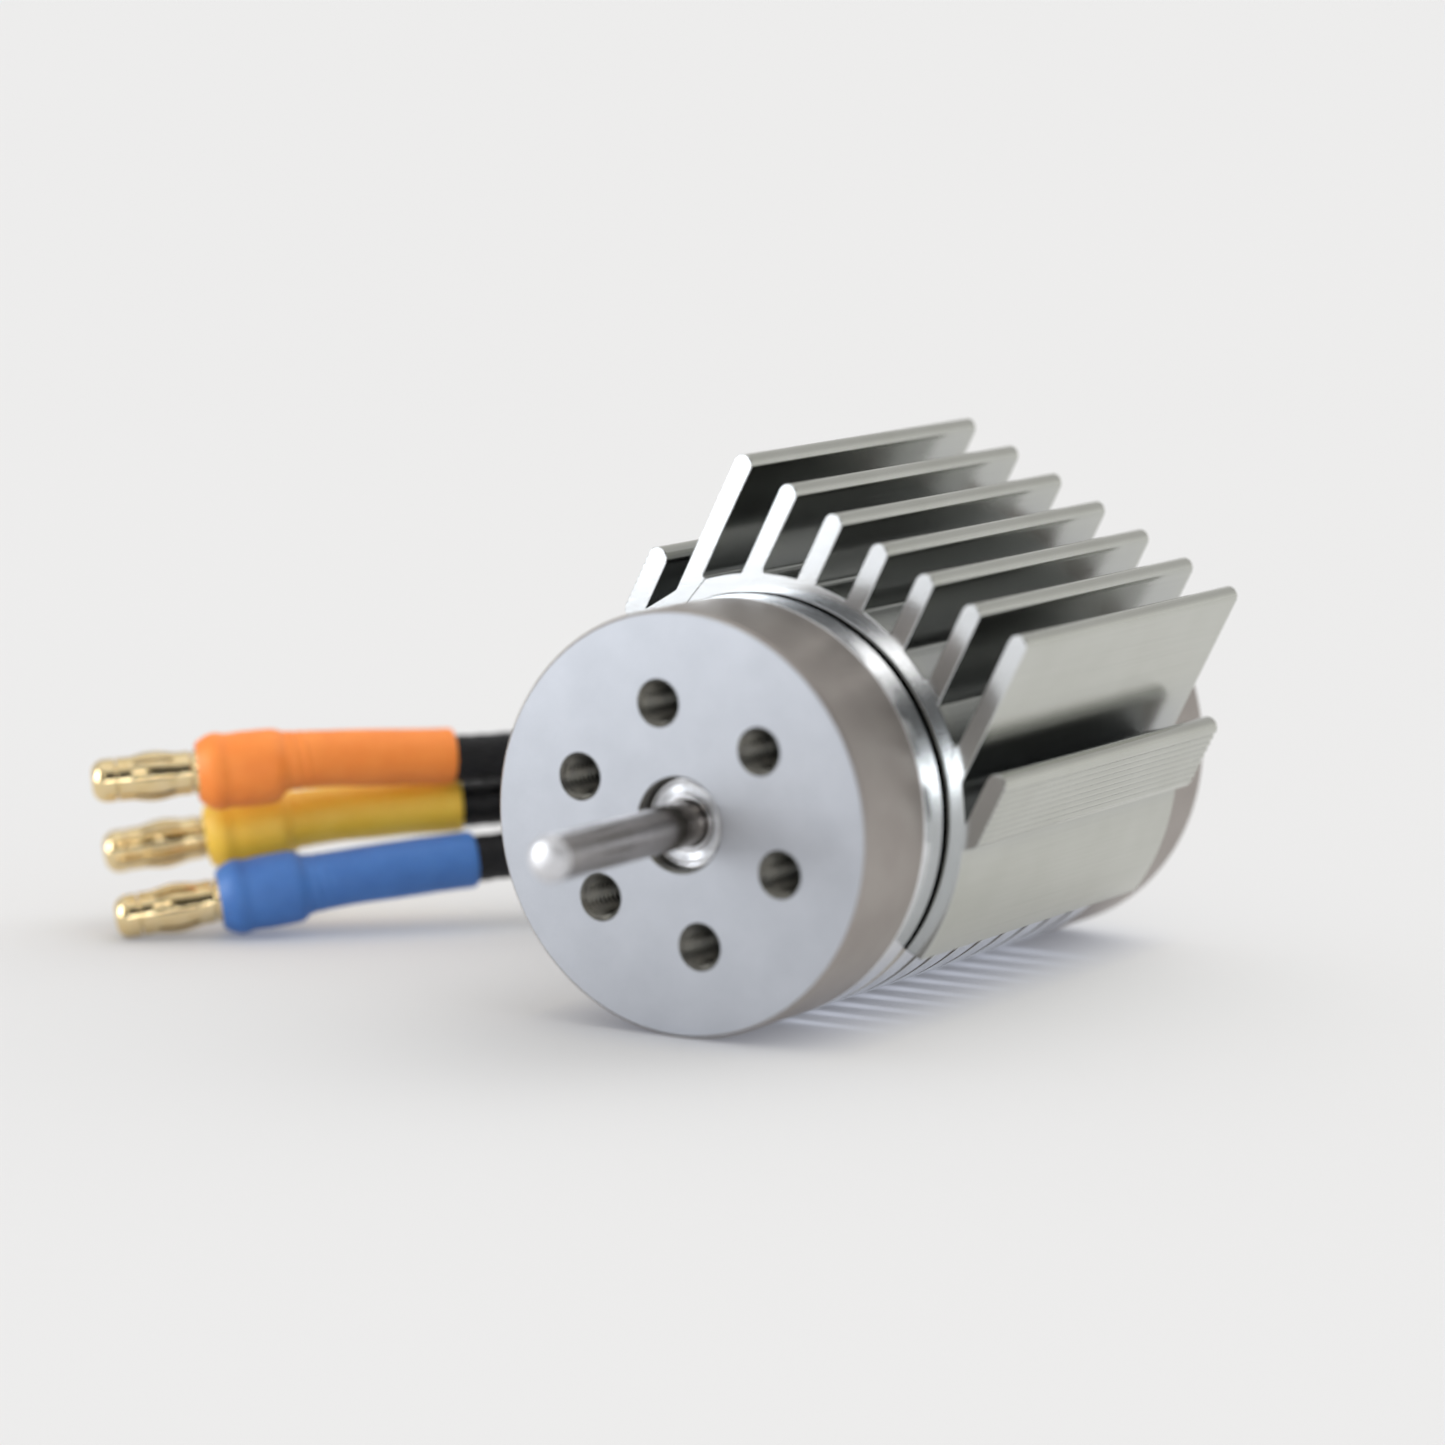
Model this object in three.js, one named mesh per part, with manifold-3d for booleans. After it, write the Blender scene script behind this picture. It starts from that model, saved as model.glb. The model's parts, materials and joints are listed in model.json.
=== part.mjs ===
// Brushless inrunner motor with a clip-on finned heat sink and three plug-ended leads.
// Millimetres, +Z up. The motor lies on its side: the shaft axis runs along Y and the shaft
// points towards -Y. The origin is the centre of the closed rear face.
// Inside the motor group, y is the distance behind the flat front face.
import * as THREE from 'three';
import { mergeVertices } from 'three/addons/utils/BufferGeometryUtils.js';
import Module from 'manifold-3d';

const wasm = await Module();
wasm.setup();

// ---- Driving dimensions ----------------------------------------------------------------
const BODY_RADIUS = 14;
const BODY_LENGTH = 48;
const FIT_GAP = 0.05;

const FRONT_BAND_LENGTH = 7.4;
const FACE_CHAMFER = 0.25;
const CAP_SPIGOT_LENGTH = 3.2;
const CAP_WALL = 1.05;
const FACE_PLATE = 5;
const BOLT_CIRCLE_RADIUS = 8;
const BOLT_COUNT = 6;
const BOLT_START_ANGLE = 41.3;
const BOLT_CORE_RADIUS = 1.25;
const BOLT_MOUTH_RADIUS = 1.6;

const RIB_COUNT = 10;
const RIB_WIDTH = 2.5;
const GROOVE_WIDTH = 0.8;
const GROOVE_DEPTH = 0.7;
const CAN_BORE_RADIUS = 12.4;

const REAR_CHAMFER = 0.6;
const REAR_WALL = 2.2;
const REAR_BEARING_GAP = 0.3;

const SHAFT_RADIUS = 1.5;
const SHAFT_PROJECTION = 16;

const BEARING_RADIUS = 3;
const BEARING_WIDTH = 2.5;
const BEARING_RECESS = 0.9;
const BEARING_MOUTH_RADIUS = 3.2;
const BEARING_SEAT_GAP = 0.1;
const RING_WALL = 0.35;
const BALL_COUNT = 7;
const BALL_RADIUS = 0.3;
const BALL_PITCH_RADIUS = 2.25;

const STATOR_START = 13;
const STATOR_LENGTH = 22;
const STATOR_RADIUS = 12.3;
const STATOR_BORE_RADIUS = 6.5;
const TOOTH_COUNT = 6;
const MAGNET_COUNT = 4;
const ROTOR_RADIUS = 6.1;

const SINK_START = 10.35;
const SINK_LENGTH = 30.5;
const SINK_ROLL = 27.2;
const SINK_INNER_RADIUS = 14.3;
const SINK_OUTER_RADIUS = 15.3;
const SINK_SKIRT_ANGLE = 11.3;
const FIN_PITCH = 3.85;
const FIN_THICKNESS = 1.35;
const FIN_TIP_HEIGHT = 19.9;
const FINS_EACH_SIDE = 3;
const SIDE_FIN_FACE = 15.2;
const SIDE_FIN_THICKNESS = 1.5;
const SIDE_FIN_TIP_HEIGHT = 11.1;
const SIDE_FIN_STEP_LOW = 5.3;
const SIDE_FIN_STEP_HIGH = 6.0;

const EXIT_TILT = 14;
const EXIT_BEHIND_FACE = 43.4;
const LEAD_PITCH = 3.4;
const SLOT_HALF_WIDTH = 2.35;
const GROMMET_HALF_WIDTH = 2.05;
const SLEEVE_RADIUS = 1.55;
const SLEEVE_BORE = 1.2;
const CONDUCTOR_RADIUS = 0.9;
const CONDUCTOR_START = 9.2;
const SLEEVE_START = 15;
const SLEEVE_SETBACK = 0.8;
const SHRINK_START = 7.5;
const SHRINK_END = 26;

// Each lead: its plug's tip and the way it points back towards the motor, its place in the
// row of exit holes, and how far its curve holds the plug's direction.
const LEADS = [
  { name: 'orange', tip: [-54.45, 8.6, -2.85], heading: 40.4, climb: 4.1, row: 1, pull: 5 },
  { name: 'yellow', tip: [-57.15, 13.4, -8.95], heading: 34.7, climb: 9.3, row: 0, pull: 10 },
  { name: 'blue', tip: [-52.6, 8.7, -12.55], heading: 40.4, climb: 8.8, row: -1, pull: 16 },
];
const PLUG_STRAIGHT = 14;
const EXIT_STRAIGHT_OUTER = 16.5;
const EXIT_STRAIGHT_INNER = 9;
const EXIT_PULL = 5;

const MAIN_SEGMENTS = 36;
const WASHER_SEGMENTS = 24;
const SMALL_SEGMENTS = 20;
const SPRING_SEGMENTS = 16;
const SHRINK_SEGMENTS = 16;
const LEAD_SEGMENTS = 12;
const CONDUCTOR_SEGMENTS = 6;

// ---- Worked-out dimensions --------------------------------------------------------------
const CAN_START = FRONT_BAND_LENGTH;
const CAN_LENGTH = RIB_COUNT * RIB_WIDTH + (RIB_COUNT - 1) * GROOVE_WIDTH;
const CAN_END = CAN_START + CAN_LENGTH;
const SPIGOT_RADIUS = CAN_BORE_RADIUS - FIT_GAP;
const CAP_BORE_RADIUS = SPIGOT_RADIUS - CAP_WALL;
const STATOR_END = STATOR_START + STATOR_LENGTH;
const REAR_CAVITY_END = BODY_LENGTH - REAR_WALL;
const FRONT_BEARING_START = BEARING_RECESS;
const REAR_BEARING_START = REAR_CAVITY_END - REAR_BEARING_GAP - BEARING_WIDTH;
const EXIT_CUT_INNER = CAP_BORE_RADIUS - 3;
const EXIT_CUT_OUTER = BODY_RADIUS + 2;
const BEARING_BORE = SHAFT_RADIUS + FIT_GAP;
const BEARING_SEAT_RADIUS = BEARING_RADIUS + FIT_GAP;

const radians = THREE.MathUtils.degToRad;
const motor = new THREE.Group();
motor.position.y = -BODY_LENGTH;

// ---- Materials --------------------------------------------------------------------------
const metal = (colour, roughness) =>
  new THREE.MeshStandardMaterial({ color: colour, metalness: 1, roughness });
const matt = (colour, roughness) =>
  new THREE.MeshStandardMaterial({ color: colour, metalness: 0, roughness });
const ANODISED_CAP = metal(0xb4b9c2, 0.42);
const TURNED_CAN = metal(0xd6d7da, 0.18);
const ANODISED_SINK = metal(0x9fa097, 0.34);
const GROUND_STEEL = metal(0xb9b9bb, 0.28);
const BEARING_STEEL = metal(0xd9dadd, 0.15);
const LAMINATION = metal(0x6a6c70, 0.5);
const BRASS = metal(0xb99c5b, 0.35);
const GOLD_PLATE = metal(0xe6c27a, 0.2);
const MAGNET = metal(0x8b8d92, 0.3);
const ENAMELLED_COPPER = metal(0xa5532c, 0.4);
const RUBBER = matt(0x1b1b1d, 0.75);
const WOVEN_SLEEVE = matt(0x17181b, 0.85);
const WRAP = matt(0x26272b, 0.6);
const HEAT_SHRINK = {
  orange: matt(0xe8873f, 0.5),
  yellow: matt(0xdcb43c, 0.5),
  blue: matt(0x4678bd, 0.5),
};

// ---- Shape helpers ----------------------------------------------------------------------
function addPart(name, geometry, material, group = motor) {
  const mesh = new THREE.Mesh(geometry, material);
  mesh.name = name;
  group.add(mesh);
  return mesh;
}

const toVectors = (pairs) => pairs.map(([x, y]) => new THREE.Vector2(x, y));

// A turned shape about the Y axis. The profile lists radius and y: out, towards +Y, then in.
function turned(profile, segments = MAIN_SEGMENTS) {
  return new THREE.LatheGeometry(toVectors(profile), segments);
}

function turnedRing(profile, segments = MAIN_SEGMENTS) {
  return turned([...profile, profile[0]], segments);
}

function tube(innerRadius, outerRadius, start, end, segments = SMALL_SEGMENTS) {
  const profile = [[innerRadius, start], [outerRadius, start], [outerRadius, end], [innerRadius, end]];
  return turnedRing(profile, segments);
}

function arcPoints(radius, from, to, steps, centreX = 0, centreY = 0) {
  const clockwise = to < from;
  const curve = new THREE.EllipseCurve(centreX, centreY, radius, radius, from, to, clockwise);
  return curve.getPoints(steps);
}

// An outline in the X-Z plane pushed along Y from start to end.
function prismAlongY(points, start, end, holes = []) {
  const shape = new THREE.Shape(points);
  shape.holes = holes.map((hole) => new THREE.Path(hole));
  const geometry = new THREE.ExtrudeGeometry(shape, { depth: end - start, bevelEnabled: false });
  geometry.rotateX(Math.PI / 2);
  geometry.translate(0, end, 0);
  return geometry;
}

function toSolid(geometry) {
  const bare = geometry.clone();
  bare.deleteAttribute('normal');
  bare.deleteAttribute('uv');
  const merged = mergeVertices(bare, 1e-5);
  const triangles = new Uint32Array(merged.index.array);
  const mesh = new wasm.Mesh({
    numProp: 3,
    vertProperties: new Float32Array(merged.attributes.position.array),
    triVerts: triangles,
  });
  return new wasm.Manifold(mesh);
}

function toGeometry(solid) {
  const mesh = solid.getMesh();
  const geometry = new THREE.BufferGeometry();
  geometry.setAttribute('position', new THREE.BufferAttribute(mesh.vertProperties, 3));
  geometry.setIndex(new THREE.BufferAttribute(mesh.triVerts, 1));
  geometry.computeVertexNormals();
  return geometry;
}

function cutFrom(geometry, cutters) {
  let solid = toSolid(geometry);
  for (const cutter of cutters) {
    solid = solid.subtract(toSolid(cutter));
  }
  return toGeometry(solid);
}

// ---- Housing ----------------------------------------------------------------------------
function frontCapGeometry() {
  const seatRadius = BEARING_SEAT_RADIUS;
  const lipRadius = 2.3;
  const seatEnd = FRONT_BEARING_START + BEARING_WIDTH + BEARING_SEAT_GAP;
  const spigotEnd = FRONT_BAND_LENGTH + CAP_SPIGOT_LENGTH;
  const body = turnedRing([
    [BEARING_MOUTH_RADIUS, 0],
    [BODY_RADIUS - FACE_CHAMFER, 0],
    [BODY_RADIUS, FACE_CHAMFER],
    [BODY_RADIUS, FRONT_BAND_LENGTH],
    [SPIGOT_RADIUS, FRONT_BAND_LENGTH],
    [SPIGOT_RADIUS, spigotEnd],
    [CAP_BORE_RADIUS, spigotEnd],
    [CAP_BORE_RADIUS, FACE_PLATE],
    [lipRadius, FACE_PLATE],
    [lipRadius, seatEnd],
    [seatRadius, seatEnd],
    [seatRadius, BEARING_MOUTH_RADIUS - seatRadius],
  ]);
  const overrun = 0.5;
  const chamfer = BOLT_MOUTH_RADIUS - BOLT_CORE_RADIUS;
  const holes = [];
  for (let index = 0; index < BOLT_COUNT; index += 1) {
    const angle = radians(BOLT_START_ANGLE + (360 / BOLT_COUNT) * index);
    const hole = turned([
      [0, -overrun],
      [BOLT_MOUTH_RADIUS + overrun, -overrun],
      [BOLT_CORE_RADIUS, chamfer],
      [BOLT_CORE_RADIUS, FACE_PLATE + overrun],
      [0, FACE_PLATE + overrun],
    ], SMALL_SEGMENTS);
    hole.translate(BOLT_CIRCLE_RADIUS * Math.cos(angle), 0, BOLT_CIRCLE_RADIUS * Math.sin(angle));
    holes.push(hole);
  }
  return cutFrom(body, holes);
}

function canGeometry() {
  const pitch = RIB_WIDTH + GROOVE_WIDTH;
  const profile = [[CAN_BORE_RADIUS, CAN_START]];
  for (let rib = 0; rib < RIB_COUNT; rib += 1) {
    const ribStart = CAN_START + rib * pitch;
    profile.push([BODY_RADIUS, ribStart], [BODY_RADIUS, ribStart + RIB_WIDTH]);
    if (rib < RIB_COUNT - 1) {
      profile.push([BODY_RADIUS - GROOVE_DEPTH, ribStart + RIB_WIDTH + GROOVE_WIDTH / 2]);
    }
  }
  profile.push([CAN_BORE_RADIUS, CAN_END]);
  return turnedRing(profile);
}

// The lead exit: a long rounded outline across the cap's side, pushed inwards along X.
function exitBlock(halfWidth, innerX, outerX, holes = []) {
  const reach = LEAD_PITCH;
  const outline = [
    ...arcPoints(halfWidth, 0, Math.PI, 8, 0, reach),
    ...arcPoints(halfWidth, Math.PI, 2 * Math.PI, 8, 0, -reach),
  ];
  const shape = new THREE.Shape(outline);
  shape.holes = holes.map((hole) => new THREE.Path(hole));
  const geometry = new THREE.ExtrudeGeometry(shape, { depth: outerX - innerX, bevelEnabled: false });
  geometry.rotateY(-Math.PI / 2);
  geometry.rotateX(Math.PI / 2);
  geometry.translate(-innerX, EXIT_BEHIND_FACE, 0);
  geometry.rotateY(-radians(EXIT_TILT));
  return geometry;
}

function rearCapGeometry() {
  const seatRadius = BEARING_SEAT_RADIUS;
  const bossRadius = 4.6;
  const bossStart = REAR_BEARING_START - BEARING_SEAT_GAP;
  const spigotStart = CAN_END - CAP_SPIGOT_LENGTH;
  const body = turned([
    [0, REAR_CAVITY_END],
    [seatRadius, REAR_CAVITY_END],
    [seatRadius, bossStart],
    [bossRadius, bossStart],
    [bossRadius, REAR_CAVITY_END],
    [CAP_BORE_RADIUS, REAR_CAVITY_END],
    [CAP_BORE_RADIUS, spigotStart],
    [SPIGOT_RADIUS, spigotStart],
    [SPIGOT_RADIUS, CAN_END],
    [BODY_RADIUS, CAN_END],
    [BODY_RADIUS, BODY_LENGTH - REAR_CHAMFER],
    [BODY_RADIUS - REAR_CHAMFER, BODY_LENGTH],
    [0, BODY_LENGTH],
  ]);
  return cutFrom(body, [exitBlock(SLOT_HALF_WIDTH, EXIT_CUT_INNER, EXIT_CUT_OUTER)]);
}

function grommetGeometry() {
  const clearance = 0.07;
  const overhang = 0.3;
  const holes = [-1, 0, 1].map((row) => (
    arcPoints(SLEEVE_RADIUS + clearance, 0, 2 * Math.PI, LEAD_SEGMENTS, 0, row * LEAD_PITCH)
      .slice(0, LEAD_SEGMENTS)
  ));
  const plug = exitBlock(GROMMET_HALF_WIDTH, EXIT_CUT_INNER, EXIT_CUT_OUTER, holes);
  const shellInner = CAP_BORE_RADIUS - overhang;
  const shellOuter = BODY_RADIUS + overhang;
  const shell = tube(shellInner, shellOuter, CAN_END, BODY_LENGTH, MAIN_SEGMENTS);
  return toGeometry(toSolid(plug).intersect(toSolid(shell)));
}

// ---- Heat sink --------------------------------------------------------------------------
function sinkOutline() {
  const skirt = radians(SINK_SKIRT_ANGLE);
  const faceAngle = (across) => Math.acos(across / SINK_OUTER_RADIUS);
  const stepAngle = Math.asin(SIDE_FIN_STEP_LOW / SINK_OUTER_RADIUS);
  const sideTip = SIDE_FIN_THICKNESS / 2;
  const sideCentre = SIDE_FIN_FACE - sideTip;
  const sideInner = SIDE_FIN_FACE - SIDE_FIN_THICKNESS;
  const finTip = FIN_THICKNESS / 2;
  const tipArc = (radius, across, height) =>
    arcPoints(radius, 0, Math.PI, 6, across, height - radius);
  const wallArc = (from, to, steps) => arcPoints(SINK_OUTER_RADIUS, from, to, steps);

  const points = [
    ...wallArc(-skirt, stepAngle, 6),
    new THREE.Vector2(SIDE_FIN_FACE, SIDE_FIN_STEP_HIGH),
    ...tipArc(sideTip, sideCentre, SIDE_FIN_TIP_HEIGHT),
  ];
  let wallAngle = faceAngle(sideInner);
  for (let fin = FINS_EACH_SIDE; fin >= -FINS_EACH_SIDE; fin -= 1) {
    const across = fin * FIN_PITCH;
    points.push(...wallArc(wallAngle, faceAngle(across + finTip), 3));
    points.push(...tipArc(finTip, across, FIN_TIP_HEIGHT));
    wallAngle = faceAngle(across - finTip);
  }
  points.push(...wallArc(wallAngle, faceAngle(-sideInner), 3));
  points.push(...tipArc(sideTip, -sideCentre, SIDE_FIN_TIP_HEIGHT));
  points.push(new THREE.Vector2(-SIDE_FIN_FACE, SIDE_FIN_STEP_HIGH));
  points.push(...wallArc(Math.PI - stepAngle, Math.PI + skirt, 6));
  points.push(...arcPoints(SINK_INNER_RADIUS, Math.PI + skirt, -skirt, 30));
  return points;
}

function addHeatSink() {
  const roll = new THREE.Group();
  roll.rotation.y = radians(SINK_ROLL);
  const geometry = prismAlongY(sinkOutline(), SINK_START, SINK_START + SINK_LENGTH);
  addPart('heat_sink', geometry, ANODISED_SINK, roll);
  motor.add(roll);
}

// ---- Stator -----------------------------------------------------------------------------
function statorOutline() {
  const toothHalfWidth = 1.5;
  const yokeRadius = 10.9;
  const shoeRadius = 7.5;
  const shoeHalfAngle = radians(24);
  const pitch = (2 * Math.PI) / TOOTH_COUNT;
  const bore = [];
  for (let tooth = 0; tooth < TOOTH_COUNT; tooth += 1) {
    const middle = Math.PI / 2 + tooth * pitch;
    const footAngle = Math.asin(toothHalfWidth / yokeRadius);
    const neckAngle = Math.asin(toothHalfWidth / shoeRadius);
    const nextFoot = middle + pitch - footAngle;
    bore.push(...arcPoints(STATOR_BORE_RADIUS, middle - shoeHalfAngle, middle + shoeHalfAngle, 5));
    bore.push(...arcPoints(shoeRadius, middle + shoeHalfAngle, middle + neckAngle, 1));
    bore.push(...arcPoints(yokeRadius, middle + footAngle, nextFoot, 4));
    bore.push(...arcPoints(shoeRadius, middle + pitch - neckAngle, middle + pitch - shoeHalfAngle, 1));
  }
  return bore;
}

function statorGeometry() {
  const rim = arcPoints(STATOR_RADIUS, 0, 2 * Math.PI, MAIN_SEGMENTS).slice(0, MAIN_SEGMENTS);
  return prismAlongY(rim, STATOR_START, STATOR_END, [statorOutline()]);
}

function roundedRectangle(halfWidth, halfHeight, radius, steps) {
  const corners = [[1, 1], [-1, 1], [-1, -1], [1, -1]];
  return corners.flatMap(([sideX, sideY], quarter) => {
    const start = (quarter * Math.PI) / 2;
    const centreX = sideX * (halfWidth - radius);
    const centreY = sideY * (halfHeight - radius);
    return arcPoints(radius, start, start + Math.PI / 2, steps, centreX, centreY);
  });
}

// One coil, wound round the tooth that stands along +Z.
function coilGeometry() {
  const innerRadius = 7.8;
  const coilDepth = 2.4;
  const opening = [1.8, STATOR_LENGTH / 2 + 0.3];
  const winding = 1.1;
  const shape = new THREE.Shape(roundedRectangle(opening[0] + winding, opening[1] + winding, 1.2, 3));
  shape.holes = [new THREE.Path(roundedRectangle(opening[0], opening[1], 0.3, 1))];
  const geometry = new THREE.ExtrudeGeometry(shape, { depth: coilDepth, bevelEnabled: false });
  geometry.translate(0, (STATOR_START + STATOR_END) / 2, innerRadius);
  return geometry;
}

function addStator() {
  addPart('stator_core', statorGeometry(), LAMINATION);
  for (let tooth = 0; tooth < TOOTH_COUNT; tooth += 1) {
    const phase = ['a', 'b', 'c'][tooth % 3];
    const name = `coil_${phase}${Math.floor(tooth / 3) + 1}`;
    const coil = addPart(name, coilGeometry(), ENAMELLED_COPPER);
    coil.rotation.y = (tooth * 2 * Math.PI) / TOOTH_COUNT;
  }
}

// ---- Rotor ------------------------------------------------------------------------------
function shaftGeometry() {
  const rearEnd = REAR_CAVITY_END - 0.4;
  const rearChamfer = 0.2;
  return turned([
    [0, -SHAFT_PROJECTION],
    [0.7, -SHAFT_PROJECTION + 0.08],
    [1.15, -SHAFT_PROJECTION + 0.38],
    [SHAFT_RADIUS, -SHAFT_PROJECTION + 0.95],
    [SHAFT_RADIUS, rearEnd - rearChamfer],
    [SHAFT_RADIUS - rearChamfer, rearEnd],
    [0, rearEnd],
  ], SMALL_SEGMENTS);
}

function magnetGeometry(innerRadius, outerRadius, index) {
  const gap = radians(3);
  const start = index * (2 * Math.PI / MAGNET_COUNT) + gap;
  const end = (index + 1) * (2 * Math.PI / MAGNET_COUNT) - gap;
  const outline = [...arcPoints(outerRadius, start, end, 6), ...arcPoints(innerRadius, end, start, 6)];
  return prismAlongY(outline, STATOR_START, STATOR_END);
}

function addRotor() {
  const bore = BEARING_BORE;
  const wrapThickness = 0.25;
  const wrapInner = ROTOR_RADIUS - wrapThickness;
  const magnetOuter = wrapInner - FIT_GAP * 2;
  const coreRadius = 4.2;
  const magnetInner = coreRadius + FIT_GAP * 2;
  const endRing = 1.1;
  const spacerRadius = 2;
  const frontBearingEnd = FRONT_BEARING_START + BEARING_WIDTH;
  addPart('shaft', shaftGeometry(), GROUND_STEEL);
  addPart('rotor_core', tube(bore, coreRadius, STATOR_START, STATOR_END, SMALL_SEGMENTS), LAMINATION);
  for (let index = 0; index < MAGNET_COUNT; index += 1) {
    addPart(`magnet_${index + 1}`, magnetGeometry(magnetInner, magnetOuter, index), MAGNET);
  }
  addPart('magnet_wrap', tube(wrapInner, ROTOR_RADIUS, STATOR_START, STATOR_END, MAIN_SEGMENTS), WRAP);
  const frontRingStart = STATOR_START - endRing;
  const rearRingEnd = STATOR_END + endRing;
  addPart('front_end_ring', tube(bore, magnetOuter, frontRingStart, STATOR_START, SMALL_SEGMENTS), BRASS);
  addPart('rear_end_ring', tube(bore, magnetOuter, STATOR_END, rearRingEnd, SMALL_SEGMENTS), BRASS);
  addPart('front_spacer', tube(bore, spacerRadius, frontBearingEnd, frontRingStart), GROUND_STEEL);
  addPart('rear_spacer', tube(bore, spacerRadius, rearRingEnd, REAR_BEARING_START), GROUND_STEEL);
}

// ---- Bearings ---------------------------------------------------------------------------
function ballSetGeometry(centre) {
  const cageHalfWidth = 0.45;
  const cageWall = 0.1;
  let set = toSolid(tube(
    BALL_PITCH_RADIUS - cageWall,
    BALL_PITCH_RADIUS + cageWall,
    centre - cageHalfWidth,
    centre + cageHalfWidth,
    2 * BALL_COUNT,
  ));
  for (let ball = 0; ball < BALL_COUNT; ball += 1) {
    const angle = (ball * 2 * Math.PI) / BALL_COUNT;
    const sphere = new THREE.OctahedronGeometry(BALL_RADIUS, 1);
    sphere.translate(BALL_PITCH_RADIUS * Math.cos(angle), centre, BALL_PITCH_RADIUS * Math.sin(angle));
    set = set.add(toSolid(sphere));
  }
  return toGeometry(set);
}

// Each bearing has one shield, set just inside its front face.
function addBearing(prefix, start) {
  const end = start + BEARING_WIDTH;
  const raceRadius = BEARING_BORE + RING_WALL;
  const outerRingBore = BEARING_RADIUS - RING_WALL;
  const shieldStart = start + 0.1;
  const shieldEnd = shieldStart + 0.15;
  const shieldBore = raceRadius + 0.1;
  const shieldRadius = outerRingBore - FIT_GAP;
  const shield = tube(shieldBore, shieldRadius, shieldStart, shieldEnd);
  addPart(`${prefix}_bearing_outer_ring`, tube(outerRingBore, BEARING_RADIUS, start, end), BEARING_STEEL);
  addPart(`${prefix}_bearing_inner_ring`, tube(BEARING_BORE, raceRadius, start, end), BEARING_STEEL);
  addPart(`${prefix}_bearing_shield`, shield, BEARING_STEEL);
  addPart(`${prefix}_ball_set`, ballSetGeometry((start + end) / 2), BRASS);
}

// A thin ring whose face rises and falls three times round: it preloads the rear bearing.
function preloadWasherGeometry() {
  const thickness = 0.1;
  const wave = 0.08;
  const innerRadius = 2.05;
  const outerRadius = 2.85;
  const start = REAR_CAVITY_END - (REAR_BEARING_GAP + thickness) / 2;
  const ring = tube(innerRadius, outerRadius, start, start + thickness, WASHER_SEGMENTS);
  const position = ring.attributes.position;
  for (let index = 0; index < position.count; index += 1) {
    const angle = Math.atan2(position.getZ(index), position.getX(index));
    position.setY(index, position.getY(index) + wave * Math.cos(3 * angle));
  }
  return ring;
}

// ---- Leads ------------------------------------------------------------------------------
// The line down the middle of a lead: straight through the plug, curved, straight through the cap.
function leadPath(lead) {
  const heading = radians(lead.heading);
  const climb = radians(lead.climb);
  const tip = new THREE.Vector3(...lead.tip);
  const along = new THREE.Vector3(
    Math.cos(heading) * Math.cos(climb),
    Math.sin(heading) * Math.cos(climb),
    Math.sin(climb),
  );
  const tilt = radians(EXIT_TILT);
  const outward = new THREE.Vector3(-Math.cos(tilt), 0, -Math.sin(tilt));
  const sideways = new THREE.Vector3(-Math.sin(tilt), 0, Math.cos(tilt));
  const exitPoint = (radius) => new THREE.Vector3(0, EXIT_BEHIND_FACE, 0)
    .addScaledVector(outward, radius)
    .addScaledVector(sideways, lead.row * LEAD_PITCH);
  const plugEnd = tip.clone().addScaledVector(along, PLUG_STRAIGHT);
  const exitStart = exitPoint(EXIT_STRAIGHT_OUTER);
  const bend = new THREE.CubicBezierCurve3(
    plugEnd,
    plugEnd.clone().addScaledVector(along, lead.pull),
    exitStart.clone().addScaledVector(outward, EXIT_PULL),
    exitStart,
  );
  const path = new THREE.CurvePath();
  path.add(new THREE.LineCurve3(tip, plugEnd));
  path.add(bend);
  path.add(new THREE.LineCurve3(exitStart, exitPoint(EXIT_STRAIGHT_INNER)));
  return path;
}

// Lays a shape turned about Y along the lead: its y becomes the distance from the plug's tip.
function layAlong(geometry, path) {
  const length = path.getLength();
  const up = new THREE.Vector3(0, 0, 1);
  const position = geometry.attributes.position;
  for (let index = 0; index < position.count; index += 1) {
    const ratio = Math.min(position.getY(index) / length, 1);
    const forward = path.getTangent(ratio);
    const side = new THREE.Vector3().crossVectors(forward, up).normalize();
    const lift = new THREE.Vector3().crossVectors(side, forward);
    const point = path.getPoint(ratio)
      .addScaledVector(side, position.getX(index))
      .addScaledVector(lift, position.getZ(index));
    position.setXYZ(index, point.x, point.y, point.z);
  }
  geometry.computeVertexNormals();
  return geometry;
}

function plugPinGeometry() {
  return turned([
    [0, 0],
    [0.75, 0.05],
    [1.2, 0.28],
    [1.46, 0.62],
    [1.55, 1.0],
    [1.55, 1.7],
    [1.05, 1.7],
    [1.05, 7.15],
    [1.6, 7.15],
    [2.15, 8.1],
    [2.15, 12.6],
    [1.15, 12.6],
    [1.15, 8.9],
    [0, 8.9],
  ], LEAD_SEGMENTS);
}

// The lantern spring: a bulged sleeve between two cuffs, slit into eight blades.
function contactSpringGeometry() {
  const middle = 4.4;
  const sleeve = turnedRing([
    [1.2, 1.8],
    [1.55, 1.8],
    [1.55, 2.7],
    [1.78, middle],
    [1.55, 6.1],
    [1.55, 7.05],
    [1.2, 7.05],
    [1.2, 6.1],
    [1.45, middle],
    [1.2, 2.7],
  ], SPRING_SEGMENTS);
  const slitWidth = 0.32;
  const slitLength = 2.7;
  const slitDepth = 5;
  const slits = [0, 1, 2, 3].map((turn) => {
    const slit = new THREE.BoxGeometry(slitWidth, slitLength, slitDepth);
    slit.rotateY((turn * Math.PI) / 4);
    slit.translate(0, middle, 0);
    return slit;
  });
  return cutFrom(sleeve, slits);
}

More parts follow.
